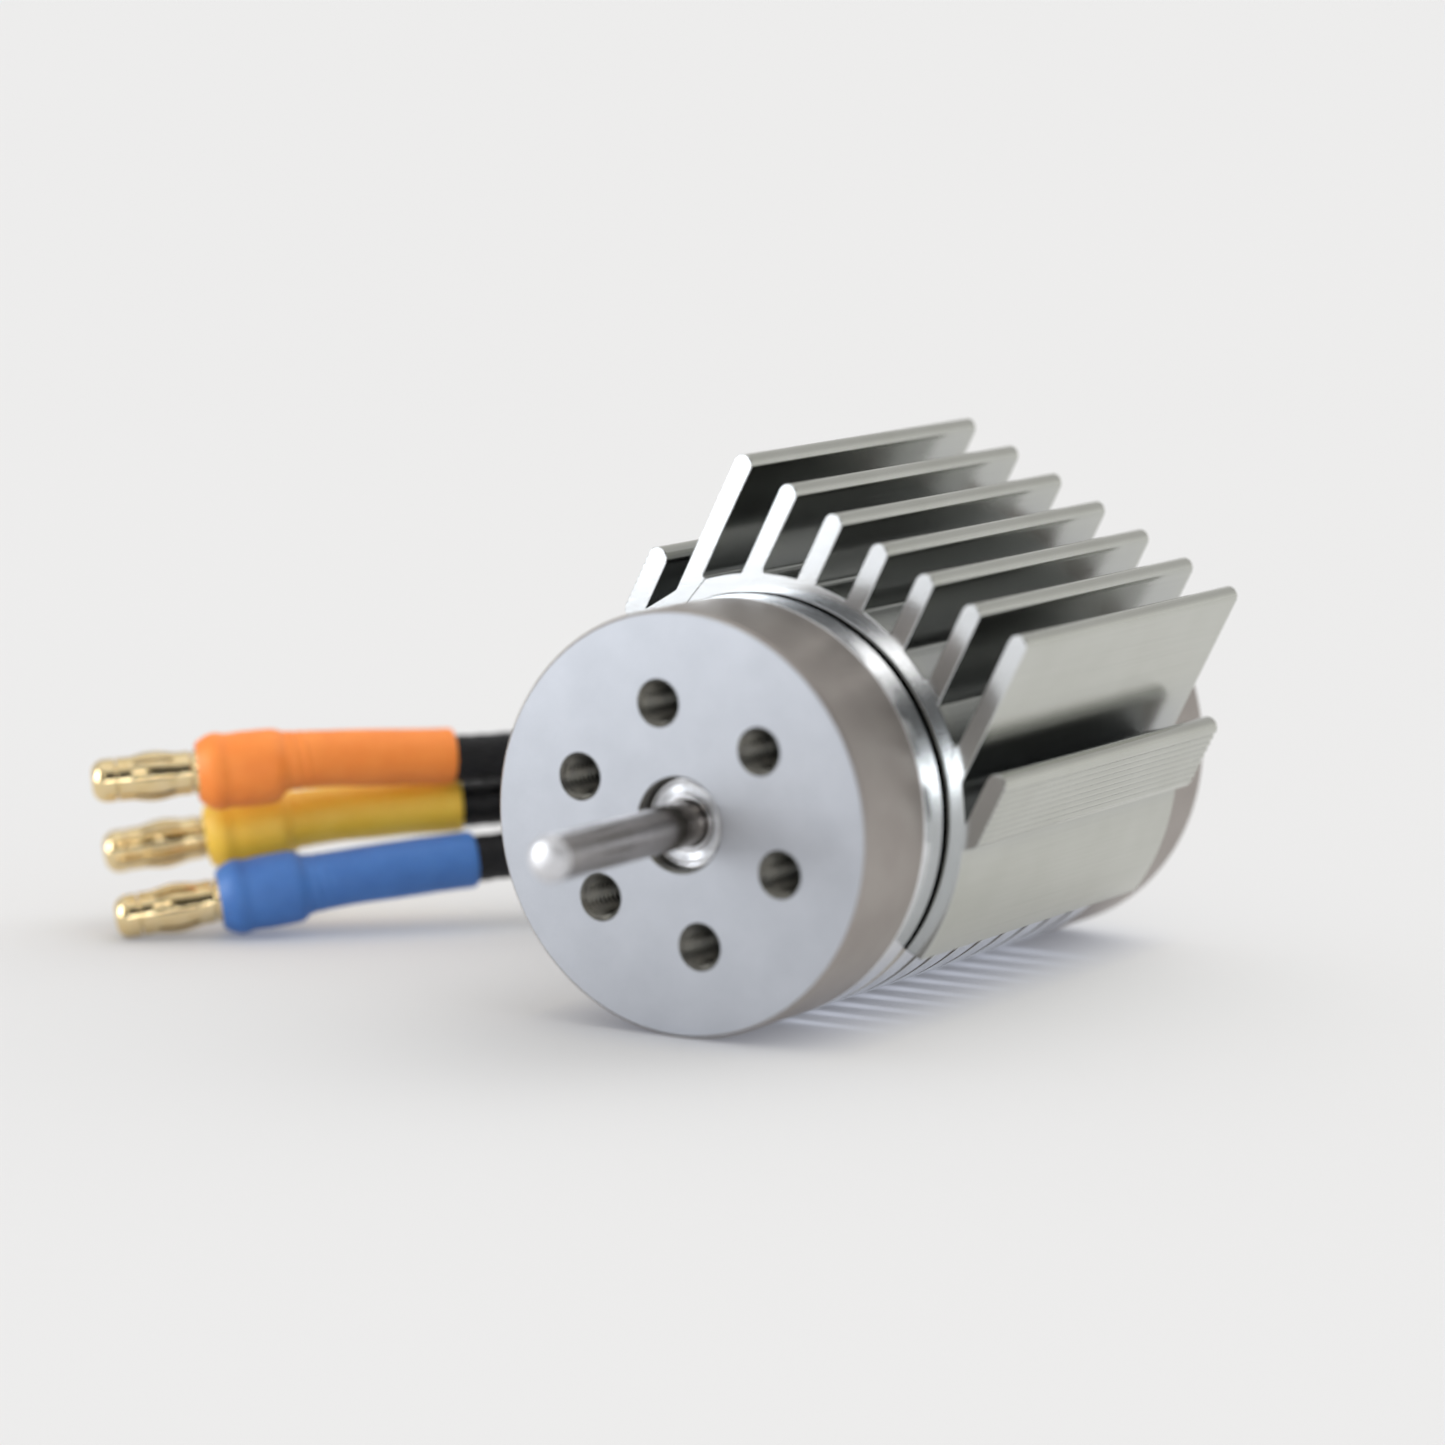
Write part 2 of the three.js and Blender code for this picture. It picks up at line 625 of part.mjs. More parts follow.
// Tubing shrunk over the solder cup, with a shoulder where the cup ends.
function heatShrinkProfile() {
  return [
    [1.95, SHRINK_START],
    [2.1, SHRINK_START],
    [2.7, 8.8],
    [2.65, 13.5],
    [2.15, 14.1],
    [2.12, 20],
    [2.12, SHRINK_END],
    [1.75, SHRINK_END],
    [1.75, 20],
    [1.75, 14.0],
    [2.25, 13.4],
    [2.25, 8.1],
  ];
}

// A pipe profile cut into short lengths, so that it can follow a bend.
function bendableTube(innerRadius, outerRadius, start, end) {
  const step = 4.4;
  const pieces = Math.ceil((end - start) / step);
  const stations = [];
  for (let index = 0; index <= pieces; index += 1) {
    stations.push(start + ((end - start) * index) / pieces);
  }
  const outer = stations.map((station) => [outerRadius, station]);
  if (innerRadius === 0) {
    return turned([[0, start], ...outer, [0, end]], CONDUCTOR_SEGMENTS);
  }
  const inner = stations.toReversed().map((station) => [innerRadius, station]);
  return turnedRing([...outer, ...inner], LEAD_SEGMENTS);
}

function addLead(lead) {
  const path = leadPath(lead);
  const length = path.getLength();
  const conductor = bendableTube(0, CONDUCTOR_RADIUS, CONDUCTOR_START, length);
  const sleeve = bendableTube(SLEEVE_BORE, SLEEVE_RADIUS, SLEEVE_START, length - SLEEVE_SETBACK);
  addPart(`plug_pin_${lead.name}`, layAlong(plugPinGeometry(), path), GOLD_PLATE);
  addPart(`plug_spring_${lead.name}`, layAlong(contactSpringGeometry(), path), GOLD_PLATE);
  addPart(`lead_wire_${lead.name}`, layAlong(conductor, path), ENAMELLED_COPPER);
  addPart(`lead_sleeve_${lead.name}`, layAlong(sleeve, path), WOVEN_SLEEVE);
  const shrink = turnedRing(heatShrinkProfile(), SHRINK_SEGMENTS);
  addPart(`heat_shrink_${lead.name}`, layAlong(shrink, path), HEAT_SHRINK[lead.name]);
}

// ---- Assembly ---------------------------------------------------------------------------
addPart('front_cap', frontCapGeometry(), ANODISED_CAP);
addPart('can', canGeometry(), TURNED_CAN);
addPart('rear_cap', rearCapGeometry(), ANODISED_CAP);
addPart('lead_grommet', grommetGeometry(), RUBBER);
addHeatSink();
addStator();
addRotor();
addBearing('front', FRONT_BEARING_START);
addBearing('rear', REAR_BEARING_START);
addPart('preload_washer', preloadWasherGeometry(), GROUND_STEEL);
LEADS.forEach(addLead);

const object = new THREE.Group();
object.add(motor);
export default object;
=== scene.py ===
"""Looks for a brushless inrunner motor with a clip-on finned heat sink and three plug-ended leads.

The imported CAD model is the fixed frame. Fine meshes stand in for its visible nodes, and every
piece gets a node-based material. Lengths are in millimetres until a mesh is made, then metres.
"""
import json
import math

import bmesh
import bpy
import numpy as np
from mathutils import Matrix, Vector
from mathutils.geometry import tessellate_polygon

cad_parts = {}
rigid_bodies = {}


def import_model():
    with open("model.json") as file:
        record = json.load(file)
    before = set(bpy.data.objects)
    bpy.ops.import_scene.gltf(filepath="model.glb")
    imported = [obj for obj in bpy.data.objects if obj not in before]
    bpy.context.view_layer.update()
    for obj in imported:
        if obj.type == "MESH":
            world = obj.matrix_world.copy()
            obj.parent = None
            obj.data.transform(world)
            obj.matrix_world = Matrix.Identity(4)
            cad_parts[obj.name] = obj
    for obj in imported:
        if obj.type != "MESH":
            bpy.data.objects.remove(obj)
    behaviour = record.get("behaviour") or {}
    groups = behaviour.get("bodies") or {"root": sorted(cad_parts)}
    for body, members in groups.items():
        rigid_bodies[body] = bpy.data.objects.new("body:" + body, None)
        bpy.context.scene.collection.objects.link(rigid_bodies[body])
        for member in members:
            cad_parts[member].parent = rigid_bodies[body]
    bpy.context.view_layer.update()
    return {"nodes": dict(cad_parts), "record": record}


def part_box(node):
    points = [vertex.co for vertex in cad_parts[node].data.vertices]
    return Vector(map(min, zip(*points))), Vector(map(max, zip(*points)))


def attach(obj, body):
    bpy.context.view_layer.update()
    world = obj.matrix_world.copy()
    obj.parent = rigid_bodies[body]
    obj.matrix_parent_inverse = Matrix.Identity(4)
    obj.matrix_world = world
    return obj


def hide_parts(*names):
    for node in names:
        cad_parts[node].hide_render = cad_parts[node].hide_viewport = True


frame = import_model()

MM = 0.001


# ---- Sizes read from the frame, in millimetres ----
def box_mm(node):
    low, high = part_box(node)
    return low / MM, high / MM


def span(node, axis):
    """A node's lowest and highest place along x, y or z."""
    return tuple(getattr(corner, axis) for corner in box_mm(node))


def round_radius(node, axis):
    low, high = span(node, axis)
    return (high - low) / 2


FACE_Y, SPIGOT_FRONT = span("front_cap", "y")
CAN_START, CAN_END = span("can", "y")
SPIGOT_REAR, REAR_Y = span("rear_cap", "y")
SINK_START, SINK_END = span("heat_sink", "y")
SHAFT_TIP, SHAFT_REAR = span("shaft", "y")
BEARING_END = span("front_bearing_outer_ring", "y")[1]
BODY_RADIUS = round_radius("front_cap", "x")
SHAFT_RADIUS = round_radius("shaft", "x")
BEARING_RADIUS = round_radius("front_bearing_outer_ring", "z")

# ---- Sizes shared with the CAD source, in millimetres and degrees ----
FACE_PLATE = 5
CAP_BORE_RADIUS = 11.3
SPIGOT_RADIUS = 12.35
CAN_BORE_RADIUS = 12.4
BOLT_CIRCLE_RADIUS = 8
BOLT_COUNT = 6
BOLT_START_ANGLE = 41.3
BOLT_MOUTH_RADIUS = 1.6
THREAD_MAJOR_RADIUS = 1.5
THREAD_MINOR_RADIUS = 1.25
THREAD_PITCH = 0.5
BEARING_MOUTH_RADIUS = 3.2
BEARING_SEAT_RADIUS = 3.05
LIP_RADIUS = 2.3

RIB_COUNT = 10
RIB_WIDTH = 2.5
GROOVE_WIDTH = 0.8
GROOVE_DEPTH = 0.7
RIB_PITCH = RIB_WIDTH + GROOVE_WIDTH
LAND_DEPTH = 0.045

SINK_ROLL = 27.2
SINK_INNER_RADIUS = 14.03
SINK_OUTER_RADIUS = 15.3
SINK_SKIRT_ANGLE = 11.3
FIN_PITCH = 3.85
FIN_THICKNESS = 1.35
FIN_TIP_HEIGHT = 19.9
FINS_EACH_SIDE = 3
SIDE_FIN_FACE = 15.2
SIDE_FIN_THICKNESS = 1.5
SIDE_FIN_TIP_HEIGHT = 11.1
SIDE_FIN_STEP_LOW = 5.3
SIDE_FIN_STEP_HIGH = 6.0

EXIT_TILT = 14
EXIT_Y = FACE_Y + 43.4
LEAD_PITCH = 3.4
SLOT_HALF_WIDTH = 2.35
GROMMET_HALF_WIDTH = 2.05
SLEEVE_RADIUS = 1.55
SLEEVE_BORE = 1.2
PLUG_STRAIGHT = 14
EXIT_STRAIGHT_OUTER = 16.5
EXIT_STRAIGHT_INNER = 9
EXIT_PULL = 5
EXIT_DIRECTION = math.radians(EXIT_TILT)
EXIT_OUTWARD = np.array([-math.cos(EXIT_DIRECTION), 0, -math.sin(EXIT_DIRECTION)])
EXIT_SIDEWAYS = np.array([-math.sin(EXIT_DIRECTION), 0, math.cos(EXIT_DIRECTION)])
SHRINK_START = 7.5
SHRINK_END = 26
DROOP_LENGTH = 26

# Each lead: its plug's tip, measured behind the front face, the way it points back, its row in the
# grommet, how far its curve holds straight, how its tubing sags and droops, and its two colours.
LEADS = {
    "orange": {"tip": (-54.45, 8.6, -2.85), "heading": 40.4, "climb": 4.1, "row": 1, "pull": 5,
               "sag": 0.19, "droop": 0.35, "colours": ((247, 143, 60), (240, 132, 50))},
    "yellow": {"tip": (-57.15, 13.4, -8.95), "heading": 34.7, "climb": 9.3, "row": 0, "pull": 10,
               "sag": 0.1, "droop": 0.12, "colours": ((250, 205, 78), (243, 195, 62))},
    "blue": {"tip": (-52.6, 8.7, -12.55), "heading": 40.4, "climb": 8.8, "row": -1, "pull": 16,
             "sag": 0.0, "droop": 0.0, "colours": ((68, 118, 186), (58, 106, 174))},
}

SEGMENTS = 288
SMALL_SEGMENTS = 128
HOLE_SEGMENTS = 64
SHARP_ANGLE = math.radians(32)
rng = np.random.default_rng(28)


# ---- Outlines ----
def arc(radius, start, end, steps, centre=(0, 0)):
    """Points on a circle from one angle to another, in degrees, both ends included."""
    angles = np.radians(np.linspace(start, end, steps + 1))
    return [(centre[0] + radius * math.cos(a), centre[1] + radius * math.sin(a)) for a in angles]


def rounded(points, steps=6):
    """Rounds the corners of a closed outline. Each point is (x, y) or (x, y, corner radius)."""
    out = []
    count = len(points)
    for index, point in enumerate(points):
        here = Vector(point[:2])
        radius = point[2] if len(point) > 2 else 0
        if radius == 0:
            out.append(tuple(here))
            continue
        before = (Vector(points[index - 1][:2]) - here).normalized()
        after = (Vector(points[(index + 1) % count][:2]) - here).normalized()
        half = before.angle(after) / 2
        reach = radius / math.tan(half)
        start, end = here + before * reach, here + after * reach
        centre = here + (before + after).normalized() * (radius / math.sin(half))
        first, last = start - centre, end - centre
        sweep = first.angle_signed(last)
        for step in range(steps + 1):
            turn = -sweep * step / steps
            x = first.x * math.cos(turn) - first.y * math.sin(turn)
            y = first.x * math.sin(turn) + first.y * math.cos(turn)
            out.append((centre.x + x, centre.y + y))
    return out


def supported(points, gap=0.03, closed=True):
    """Adds a point just inside each end of every long straight run, which keeps flats flat."""
    out = []
    count = len(points)
    for index in range(count):
        here = np.array(points[index])
        out.append(tuple(here))
        if index == count - 1 and not closed:
            break
        after = np.array(points[(index + 1) % count])
        length = np.linalg.norm(after - here)
        if length > 6 * gap:
            step = (after - here) / length * gap
            out.append(tuple(here + step))
            out.append(tuple(after - step))
    return out


# ---- Meshes ----
def grid_faces(rows, columns, close_rows=False, start=0):
    """Quads of a grid of vertices stored row by row, whose columns close into rings."""
    row = np.arange(rows if close_rows else rows - 1)
    a, b = np.meshgrid(row, np.arange(columns), indexing="ij")
    a, b = a.ravel(), b.ravel()
    next_a, next_b = (a + 1) % rows, (b + 1) % columns
    quads = np.stack([a * columns + b, a * columns + next_b, next_a * columns + next_b,
                      next_a * columns + b], axis=1)
    return (quads + start).tolist()


def link(name, data):
    """Adds an object to the scene."""
    made = bpy.data.objects.new(name, data)
    bpy.context.scene.collection.objects.link(made)
    return made


def closed_mesh(name, vertices, faces):
    """A new mesh in metres and its cleaned bmesh, whose faces point out."""
    mesh = bpy.data.meshes.new(name)
    mesh.from_pydata((np.asarray(vertices, float) * MM).tolist(), [], faces)
    bm = bmesh.new()
    bm.from_mesh(mesh)
    bmesh.ops.remove_doubles(bm, verts=bm.verts, dist=1e-4 * MM)
    bmesh.ops.dissolve_degenerate(bm, edges=bm.edges, dist=1e-6 * MM)
    bmesh.ops.recalc_face_normals(bm, faces=bm.faces)
    return mesh, bm


def add_piece(name, vertices, faces, materials, body, slot, choose=None, flat=None):
    """Adds the fine mesh of a CAD node. choose picks a face's material, flat its shading."""
    mesh, bm = closed_mesh(name, vertices, faces)
    for face in bm.faces:
        face.smooth = not (flat and flat(face.normal))
        if choose:
            face.material_index = choose(face.calc_center_median() / MM, face.normal)
    bm.to_mesh(mesh)
    bm.free()
    for material in materials:
        mesh.materials.append(material)
    mesh.set_sharp_from_angle(angle=SHARP_ANGLE)
    piece = link(name, mesh)
    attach(piece, body)
    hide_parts(name.removesuffix("_fine"))
    return piece


def tube_points(radii, stations, angles, lift=0.0):
    """Vertices about the Y axis, row by row. The radius may vary with station and angle."""
    x, z = radii * np.cos(angles), radii * np.sin(angles) + lift
    y = np.broadcast_to(stations[:, None], x.shape)
    return np.stack([x, y, z], axis=2).reshape(-1, 3)


def revolve(profile, segments=SEGMENTS):
    """Turns a closed outline of (radius, y) about the Y axis."""
    outline = np.array(profile, float)
    angles = np.linspace(0, 2 * math.pi, segments, endpoint=False)
    vertices = tube_points(outline[:, :1], outline[:, 1], angles)
    return vertices, grid_faces(len(outline), segments, close_rows=True)


def add_turned(name, profile, materials, body, slot, segments=SEGMENTS, **options):
    return add_piece(name, *revolve(supported(profile), segments), materials, body, slot, **options)


def along_axis(normal):
    return abs(normal.y) > 0.9999


# ---- Lead centre lines ----
def lead_line(lead, samples=1500):
    """Points down the middle of a lead and their distance from the plug's tip."""
    heading, climb = math.radians(lead["heading"]), math.radians(lead["climb"])
    tip = np.array(lead["tip"]) + np.array([0, FACE_Y, 0])
    along = np.array([math.cos(heading) * math.cos(climb), math.sin(heading) * math.cos(climb),
                      math.sin(climb)])
    base = np.array([0, EXIT_Y, 0]) + lead["row"] * LEAD_PITCH * EXIT_SIDEWAYS
    plug_end = tip + along * PLUG_STRAIGHT
    exit_start = base + EXIT_OUTWARD * EXIT_STRAIGHT_OUTER
    controls = [plug_end, plug_end + along * lead["pull"], exit_start + EXIT_OUTWARD * EXIT_PULL, exit_start]
    t = np.linspace(0, 1, samples)[:, None]
    bend = ((1 - t) ** 3 * controls[0] + 3 * (1 - t) ** 2 * t * controls[1]
            + 3 * (1 - t) * t ** 2 * controls[2] + t ** 3 * controls[3])
    points = np.vstack([tip, bend, base + EXIT_OUTWARD * EXIT_STRAIGHT_INNER])
    distance = np.concatenate([[0], np.cumsum(np.linalg.norm(np.diff(points, axis=0), axis=1))])
    share = np.clip((distance - PLUG_STRAIGHT) / DROOP_LENGTH, 0, 1)
    points[:, 2] -= lead["droop"] * np.sin(math.pi * share) ** 2
    return points, distance


def lay_along(vertices, line):
    """Moves a shape turned about Y onto a lead: its y becomes the distance from the plug's tip."""
    points, distance = line
    station = np.clip(vertices[:, 1], 0, distance[-1])
    place = np.stack([np.interp(station, distance, points[:, k]) for k in range(3)], axis=1)
    step = 0.4
    ahead = np.clip(station + step, 0, distance[-1])
    behind = np.clip(station - step, 0, distance[-1])
    tangent = np.stack([np.interp(ahead, distance, points[:, k])
                        - np.interp(behind, distance, points[:, k]) for k in range(3)], axis=1)
    tangent /= np.linalg.norm(tangent, axis=1)[:, None]
    side = np.cross(tangent, [0, 0, 1])
    side /= np.linalg.norm(side, axis=1)[:, None]
    lift = np.cross(side, tangent)
    return place + side * vertices[:, :1] + lift * vertices[:, 2:]


# ---- Materials ----
def srgb(red, green, blue):
    """A colour given as 0 to 255 values, in the linear values that shaders take."""
    def linear(value):
        value /= 255
        return value / 12.92 if value <= 0.04045 else ((value + 0.055) / 1.055) ** 2.4
    return (linear(red), linear(green), linear(blue), 1)


class Nodes:
    """A node tree under construction."""

    def __init__(self, tree):
        self.tree = tree

    def put(self, node, name, value):
        socket = node.inputs[name]
        if isinstance(value, bpy.types.NodeSocket):
            self.tree.links.new(value, socket)
        else:
            socket.default_value = value

    def node(self, kind, inputs=None, output=0, **settings):
        """Adds a node and returns one of its outputs."""
        made = self.tree.nodes.new(kind)
        for key, value in settings.items():
            setattr(made, key, value)
        for key, value in (inputs or {}).items():
            self.put(made, key, value)
        return made.outputs[output]

    def maths(self, operation, first, second=0.0, third=0.0):
        return self.node("ShaderNodeMath", {0: first, 1: second, 2: third}, operation=operation)

    def spread(self, value, low, high, start=0.3, end=0.7, **settings):
        """Maps a value between start and end onto the range from low to high."""
        inputs = {"Value": value, "From Min": start, "From Max": end, "To Min": low, "To Max": high}
        return self.node("ShaderNodeMapRange", inputs, "Result", **settings)


class Look(Nodes):
    """A node material. Its coordinates are millimetres in the part's frame."""

    def __init__(self, name):
        self.material = bpy.data.materials.new(name)
        self.material.use_nodes = True
        super().__init__(self.material.node_tree)
        self.shader = self.tree.nodes["Principled BSDF"]
        place = self.node("ShaderNodeTexCoord", None, "Object")
        self.position = self.node("ShaderNodeVectorMath", {0: place, "Scale": 1 / MM}, "Vector",
                                  operation="SCALE")

    def stretched(self, position, factors):
        return self.node("ShaderNodeVectorMath", {0: position, 1: factors}, "Vector", operation="MULTIPLY")

    def axis(self, index):
        return self.node("ShaderNodeSeparateXYZ", {0: self.position}, index)

    def noise(self, scale, detail=3.0, stretch=(1, 1, 1), rough=0.55, position=None):
        place = self.stretched(position or self.position, stretch)
        inputs = {"Vector": place, "Scale": scale, "Detail": detail, "Roughness": rough}
        return self.node("ShaderNodeTexNoise", inputs, "Fac")

    def turned_noise(self, scale, detail=2, rough=0.7):
        """Noise on (radius, y, 0), the same all round the shaft axis, which makes turning lines."""
        flat = self.stretched(self.position, (1, 0, 1))
        radius = self.node("ShaderNodeVectorMath", {0: flat}, "Value", operation="LENGTH")
        place = self.node("ShaderNodeCombineXYZ", {0: radius, 1: self.axis(1)})
        return self.noise(scale, detail, (1, 1, 1), rough, place)

    def shelter(self, reach, samples, **settings):
        """1 in the open and 0 in a deep corner, from ambient occlusion over reach millimetres."""
        return self.node("ShaderNodeAmbientOcclusion", {"Distance": reach * MM}, "AO", samples=samples,
                         **settings)

    def blend(self, factor, first, second):
        return self.node("ShaderNodeMix", {0: factor, 6: first, 7: second}, 2, data_type="RGBA")

    def mottle(self, pattern, colour, shade):
        """Blends two colours of 0 to 255 values over a noise pattern."""
        return self.blend(self.spread(pattern, 0, 1), srgb(*colour), srgb(*shade))

    def bump(self, height, depth, under=None):
        """depth is the height in millimetres that a change of 1 stands for."""
        inputs = {"Height": height, "Distance": depth * MM, "Strength": 1.0}
        if under is not None:
            inputs["Normal"] = under
        return self.node("ShaderNodeBump", inputs, "Normal")

    def finish(self, colour, roughness, **values):
        """Sets the shader. In the names of further inputs an underscore stands for a space."""
        for key, value in {"Base_Color": colour, "Roughness": roughness, **values}.items():
            self.put(self.shader, key.replace("_", " "), value)
        return self.material

    def metal(self, colour, roughness, normal, **values):
        return self.finish(colour, roughness, Normal=normal, Metallic=1.0, **values)

    def turned_metal(self, colour, roughness, normal, anisotropy):
        tangent = self.node("ShaderNodeTangent", direction_type="RADIAL", axis="Y")
        return self.metal(colour, roughness, normal, Anisotropic=anisotropy, Tangent=tangent)


def anodised_face():
    """Fine bead-blasted anodising, on the caps' flat faces."""
    look = Look("anodised_face")
    grain = look.noise(9, 4)
    colour = look.mottle(look.noise(0.35, 2), (174, 177, 184), (180, 183, 190))
    speckled = look.blend(look.spread(grain, 0, 0.35, 0.45, 0.75), colour, srgb(156, 160, 168))
    return look.metal(speckled, look.spread(look.noise(26, 2), 0.34, 0.4), look.bump(grain, 0.004))


def anodised_band():
    """The turned side of the caps: the same anodising over fine circular tool lines."""
    look = Look("anodised_band")
    fine = look.turned_noise(30)
    colour = look.mottle(look.noise(0.25, 2), (168, 161, 156), (178, 172, 167))
    lined = look.blend(look.spread(look.turned_noise(7, 3), 0, 0.3), colour, srgb(152, 146, 141))
    return look.turned_metal(lined, look.spread(fine, 0.48, 0.56), look.bump(fine, 0.0025), 0.2)


def shaded_bore():
    """Grey walls of the threaded holes and the bearing's mouth, darker than the face: painted shade in these
    recesses.
    """
    look = Look("shaded_bore")
    fine = look.noise(20, 2)
    colour = look.mottle(look.noise(1.1, 2), (128, 126, 118), (112, 111, 107))
    return look.metal(colour, look.spread(fine, 0.36, 0.46), look.bump(fine, 0.0012))


def polished_land():
    """Bright diamond-turned aluminium on the can's lands."""
    look = Look("polished_land")
    fine = look.turned_noise(45)
    colour = look.mottle(look.turned_noise(4, 2, 0.55), (238, 239, 241), (226, 227, 230))
    return look.turned_metal(colour, look.spread(fine, 0.2, 0.28), look.bump(fine, 0.0012), 0.5)


def groove_anodising(name, metallic, colour):
    """Grey anodising left in the can's grooves. A pale copy, used in the first groove, is painted light that
    lifts the shade of the heat sink's ring.
    """
    look = Look(name)
    fine = look.turned_noise(20)
    shade = [value * 0.88 for value in colour]
    return look.finish(look.mottle(fine, colour, shade), 0.5, Normal=look.bump(fine, 0.003),
                       Metallic=metallic)


def extruded_sink():
    """Olive-grey anodised extrusion with faint die lines that run its whole length. Painted shade darkens it
    in the gaps between the fins.
    """
    look = Look("extruded_sink")
    wide = look.noise(1.1, 3, (1, 0.010, 1), 0.6)
    fine = look.noise(7, 4, (1, 0.004, 1), 0.7)
    colour = look.mottle(look.noise(0.2, 2), (190, 191, 183), (196, 197, 190))
    streaked = look.blend(look.spread(fine, 0, 0.2, 0.4, 0.75), colour, srgb(164, 165, 157))
    # Painted shade: ambient occlusion blends the colour to a darker grey in the fin gaps and at the fin
    # roots.
    outside_painted_shade = look.spread(look.shelter(3.5, 4, only_local=True), 0, 1, 0.25, 1.0)
    return look.metal(look.blend(outside_painted_shade, srgb(172, 174, 174), streaked), look.spread(fine, 0.15, 0.21),
                      look.bump(fine, 0.0007, look.bump(wide, 0.003)))


def sawn_sink():
    """The sink's machined ends: faint straight cutter marks, with painted shade that darkens them low on the
    sides.
    """
    look = Look("sawn_sink")
    marks = look.noise(5, 3, (0.25, 1, 2.2), 0.6)
    bright = look.mottle(marks, (230, 233, 236), (219, 222, 225))
    # Painted shade: from about 12 mm down to 4 mm up, the ends blend to a darker grey.
    above_painted_shade = look.spread(look.axis(2), 0, 1, 4, 12)
    return look.metal(look.blend(above_painted_shade, srgb(198, 201, 200), bright),
                      look.spread(look.noise(22, 2), 0.12, 0.19), look.bump(marks, 0.0012))


def ground_steel(name, low, high, colour):
    """Steel ground round and round, so its scratches circle the axis."""
    look = Look(name)
    fine = look.turned_noise(28, 3, 0.75)
    dark = [value - 22 for value in colour]
    return look.turned_metal(look.mottle(look.noise(0.5, 3), colour, dark), look.spread(fine, low, high),
                             look.bump(fine, 0.0015), 0.4)


def shaft_steel():
    """The shaft's ground steel, with painted shade that darkens it towards its root at the bearing."""
    look = Look("shaft_steel")
    fine = look.turned_noise(28, 3, 0.75)
    # Painted shade: the steel blends to a dark brown-grey over the 7 mm in front of the face.
    root_painted_shade = look.spread(look.axis(1), 0, 1, FACE_Y - 7, FACE_Y + 0.5)
    clean = look.mottle(fine, (204, 198, 192), (186, 180, 175))
    return look.turned_metal(look.blend(root_painted_shade, clean, srgb(122, 116, 110)), look.spread(fine, 0.2, 0.3),
                             look.bump(fine, 0.0015), 0.4)


def gold_plate():
    look = Look("gold_plate")
    fine = look.noise(18, 3)
    colour = look.mottle(look.noise(0.9, 3), (240, 219, 174), (231, 205, 152))
    return look.metal(colour, look.spread(fine, 0.12, 0.22), look.bump(fine, 0.0015))


def heat_shrink(name, colour, shade):
    """Satin polyolefin with a faint orange-peel skin."""
    look = Look(f"shrink_{name}")
    peel = look.noise(6, 3)
    normal = look.bump(look.noise(24, 2), 0.003, look.bump(peel, 0.012))
    return look.finish(look.mottle(look.noise(0.45, 3), colour, shade), look.spread(peel, 0.42, 0.56),
                       Normal=normal, Specular_IOR_Level=0.45, Subsurface_Weight=0.12,
                       Subsurface_Radius=(0.0012, 0.0007, 0.0004), Subsurface_Scale=1.0)


def woven_sleeve():
    look = Look("woven_sleeve")
    thread = look.noise(14, 3)
    return look.finish(look.mottle(look.noise(1.2, 2), (24, 23, 26), (14, 14, 16)),
                       look.spread(thread, 0.3, 0.5), Normal=look.bump(thread, 0.01), Specular_IOR_Level=0.3)


def patterned(name, colour, shade, low, high, scale, depth, stretch=(1, 1, 1), detail=4, metallic=1.0):
    """A finish whose colour, roughness (low to high) and bump all follow one noise pattern."""
    look = Look(name)
    pattern = look.noise(scale, detail, stretch)
    return look.finish(look.mottle(pattern, colour, shade), look.spread(pattern, low, high),
                       Normal=look.bump(pattern, depth), Metallic=metallic)


# ---- Housing ----
def thread_wall(angles, depth):
    """The wall of one threaded hole: rows of points from its chamfered mouth to the plate's back."""
    rows_per_turn, crest_cut, mouth_slope = 8, 1.25, 0.9
    rows = np.linspace(0, depth, int(depth / THREAD_PITCH * rows_per_turn) + 1)
    turn = (rows[:, None] / THREAD_PITCH - angles[None, :] / (2 * math.pi)) % 1
    ridge = 1 - np.abs(2 * turn - 1)
    height = THREAD_MAJOR_RADIUS - THREAD_MINOR_RADIUS
    radius = THREAD_MINOR_RADIUS + height * np.clip(ridge * crest_cut, 0, 1)
    cone = BOLT_MOUTH_RADIUS - rows[:, None] * mouth_slope
    radius = np.maximum(radius, cone)
    radius[0, :] = BOLT_MOUTH_RADIUS
    return rows, radius


def plane_with_holes(rims):
    """Triangles that fill a flat face between its outer rim and the rims inside it."""
    flat = [[Vector((x, z, 0)) for x, z in loop] for loop, _ in rims]
    owners = np.concatenate([np.arange(len(loop)) + start for loop, start in rims])
    return [[int(owners[i]) for i in triangle] for triangle in tessellate_polygon(flat)]


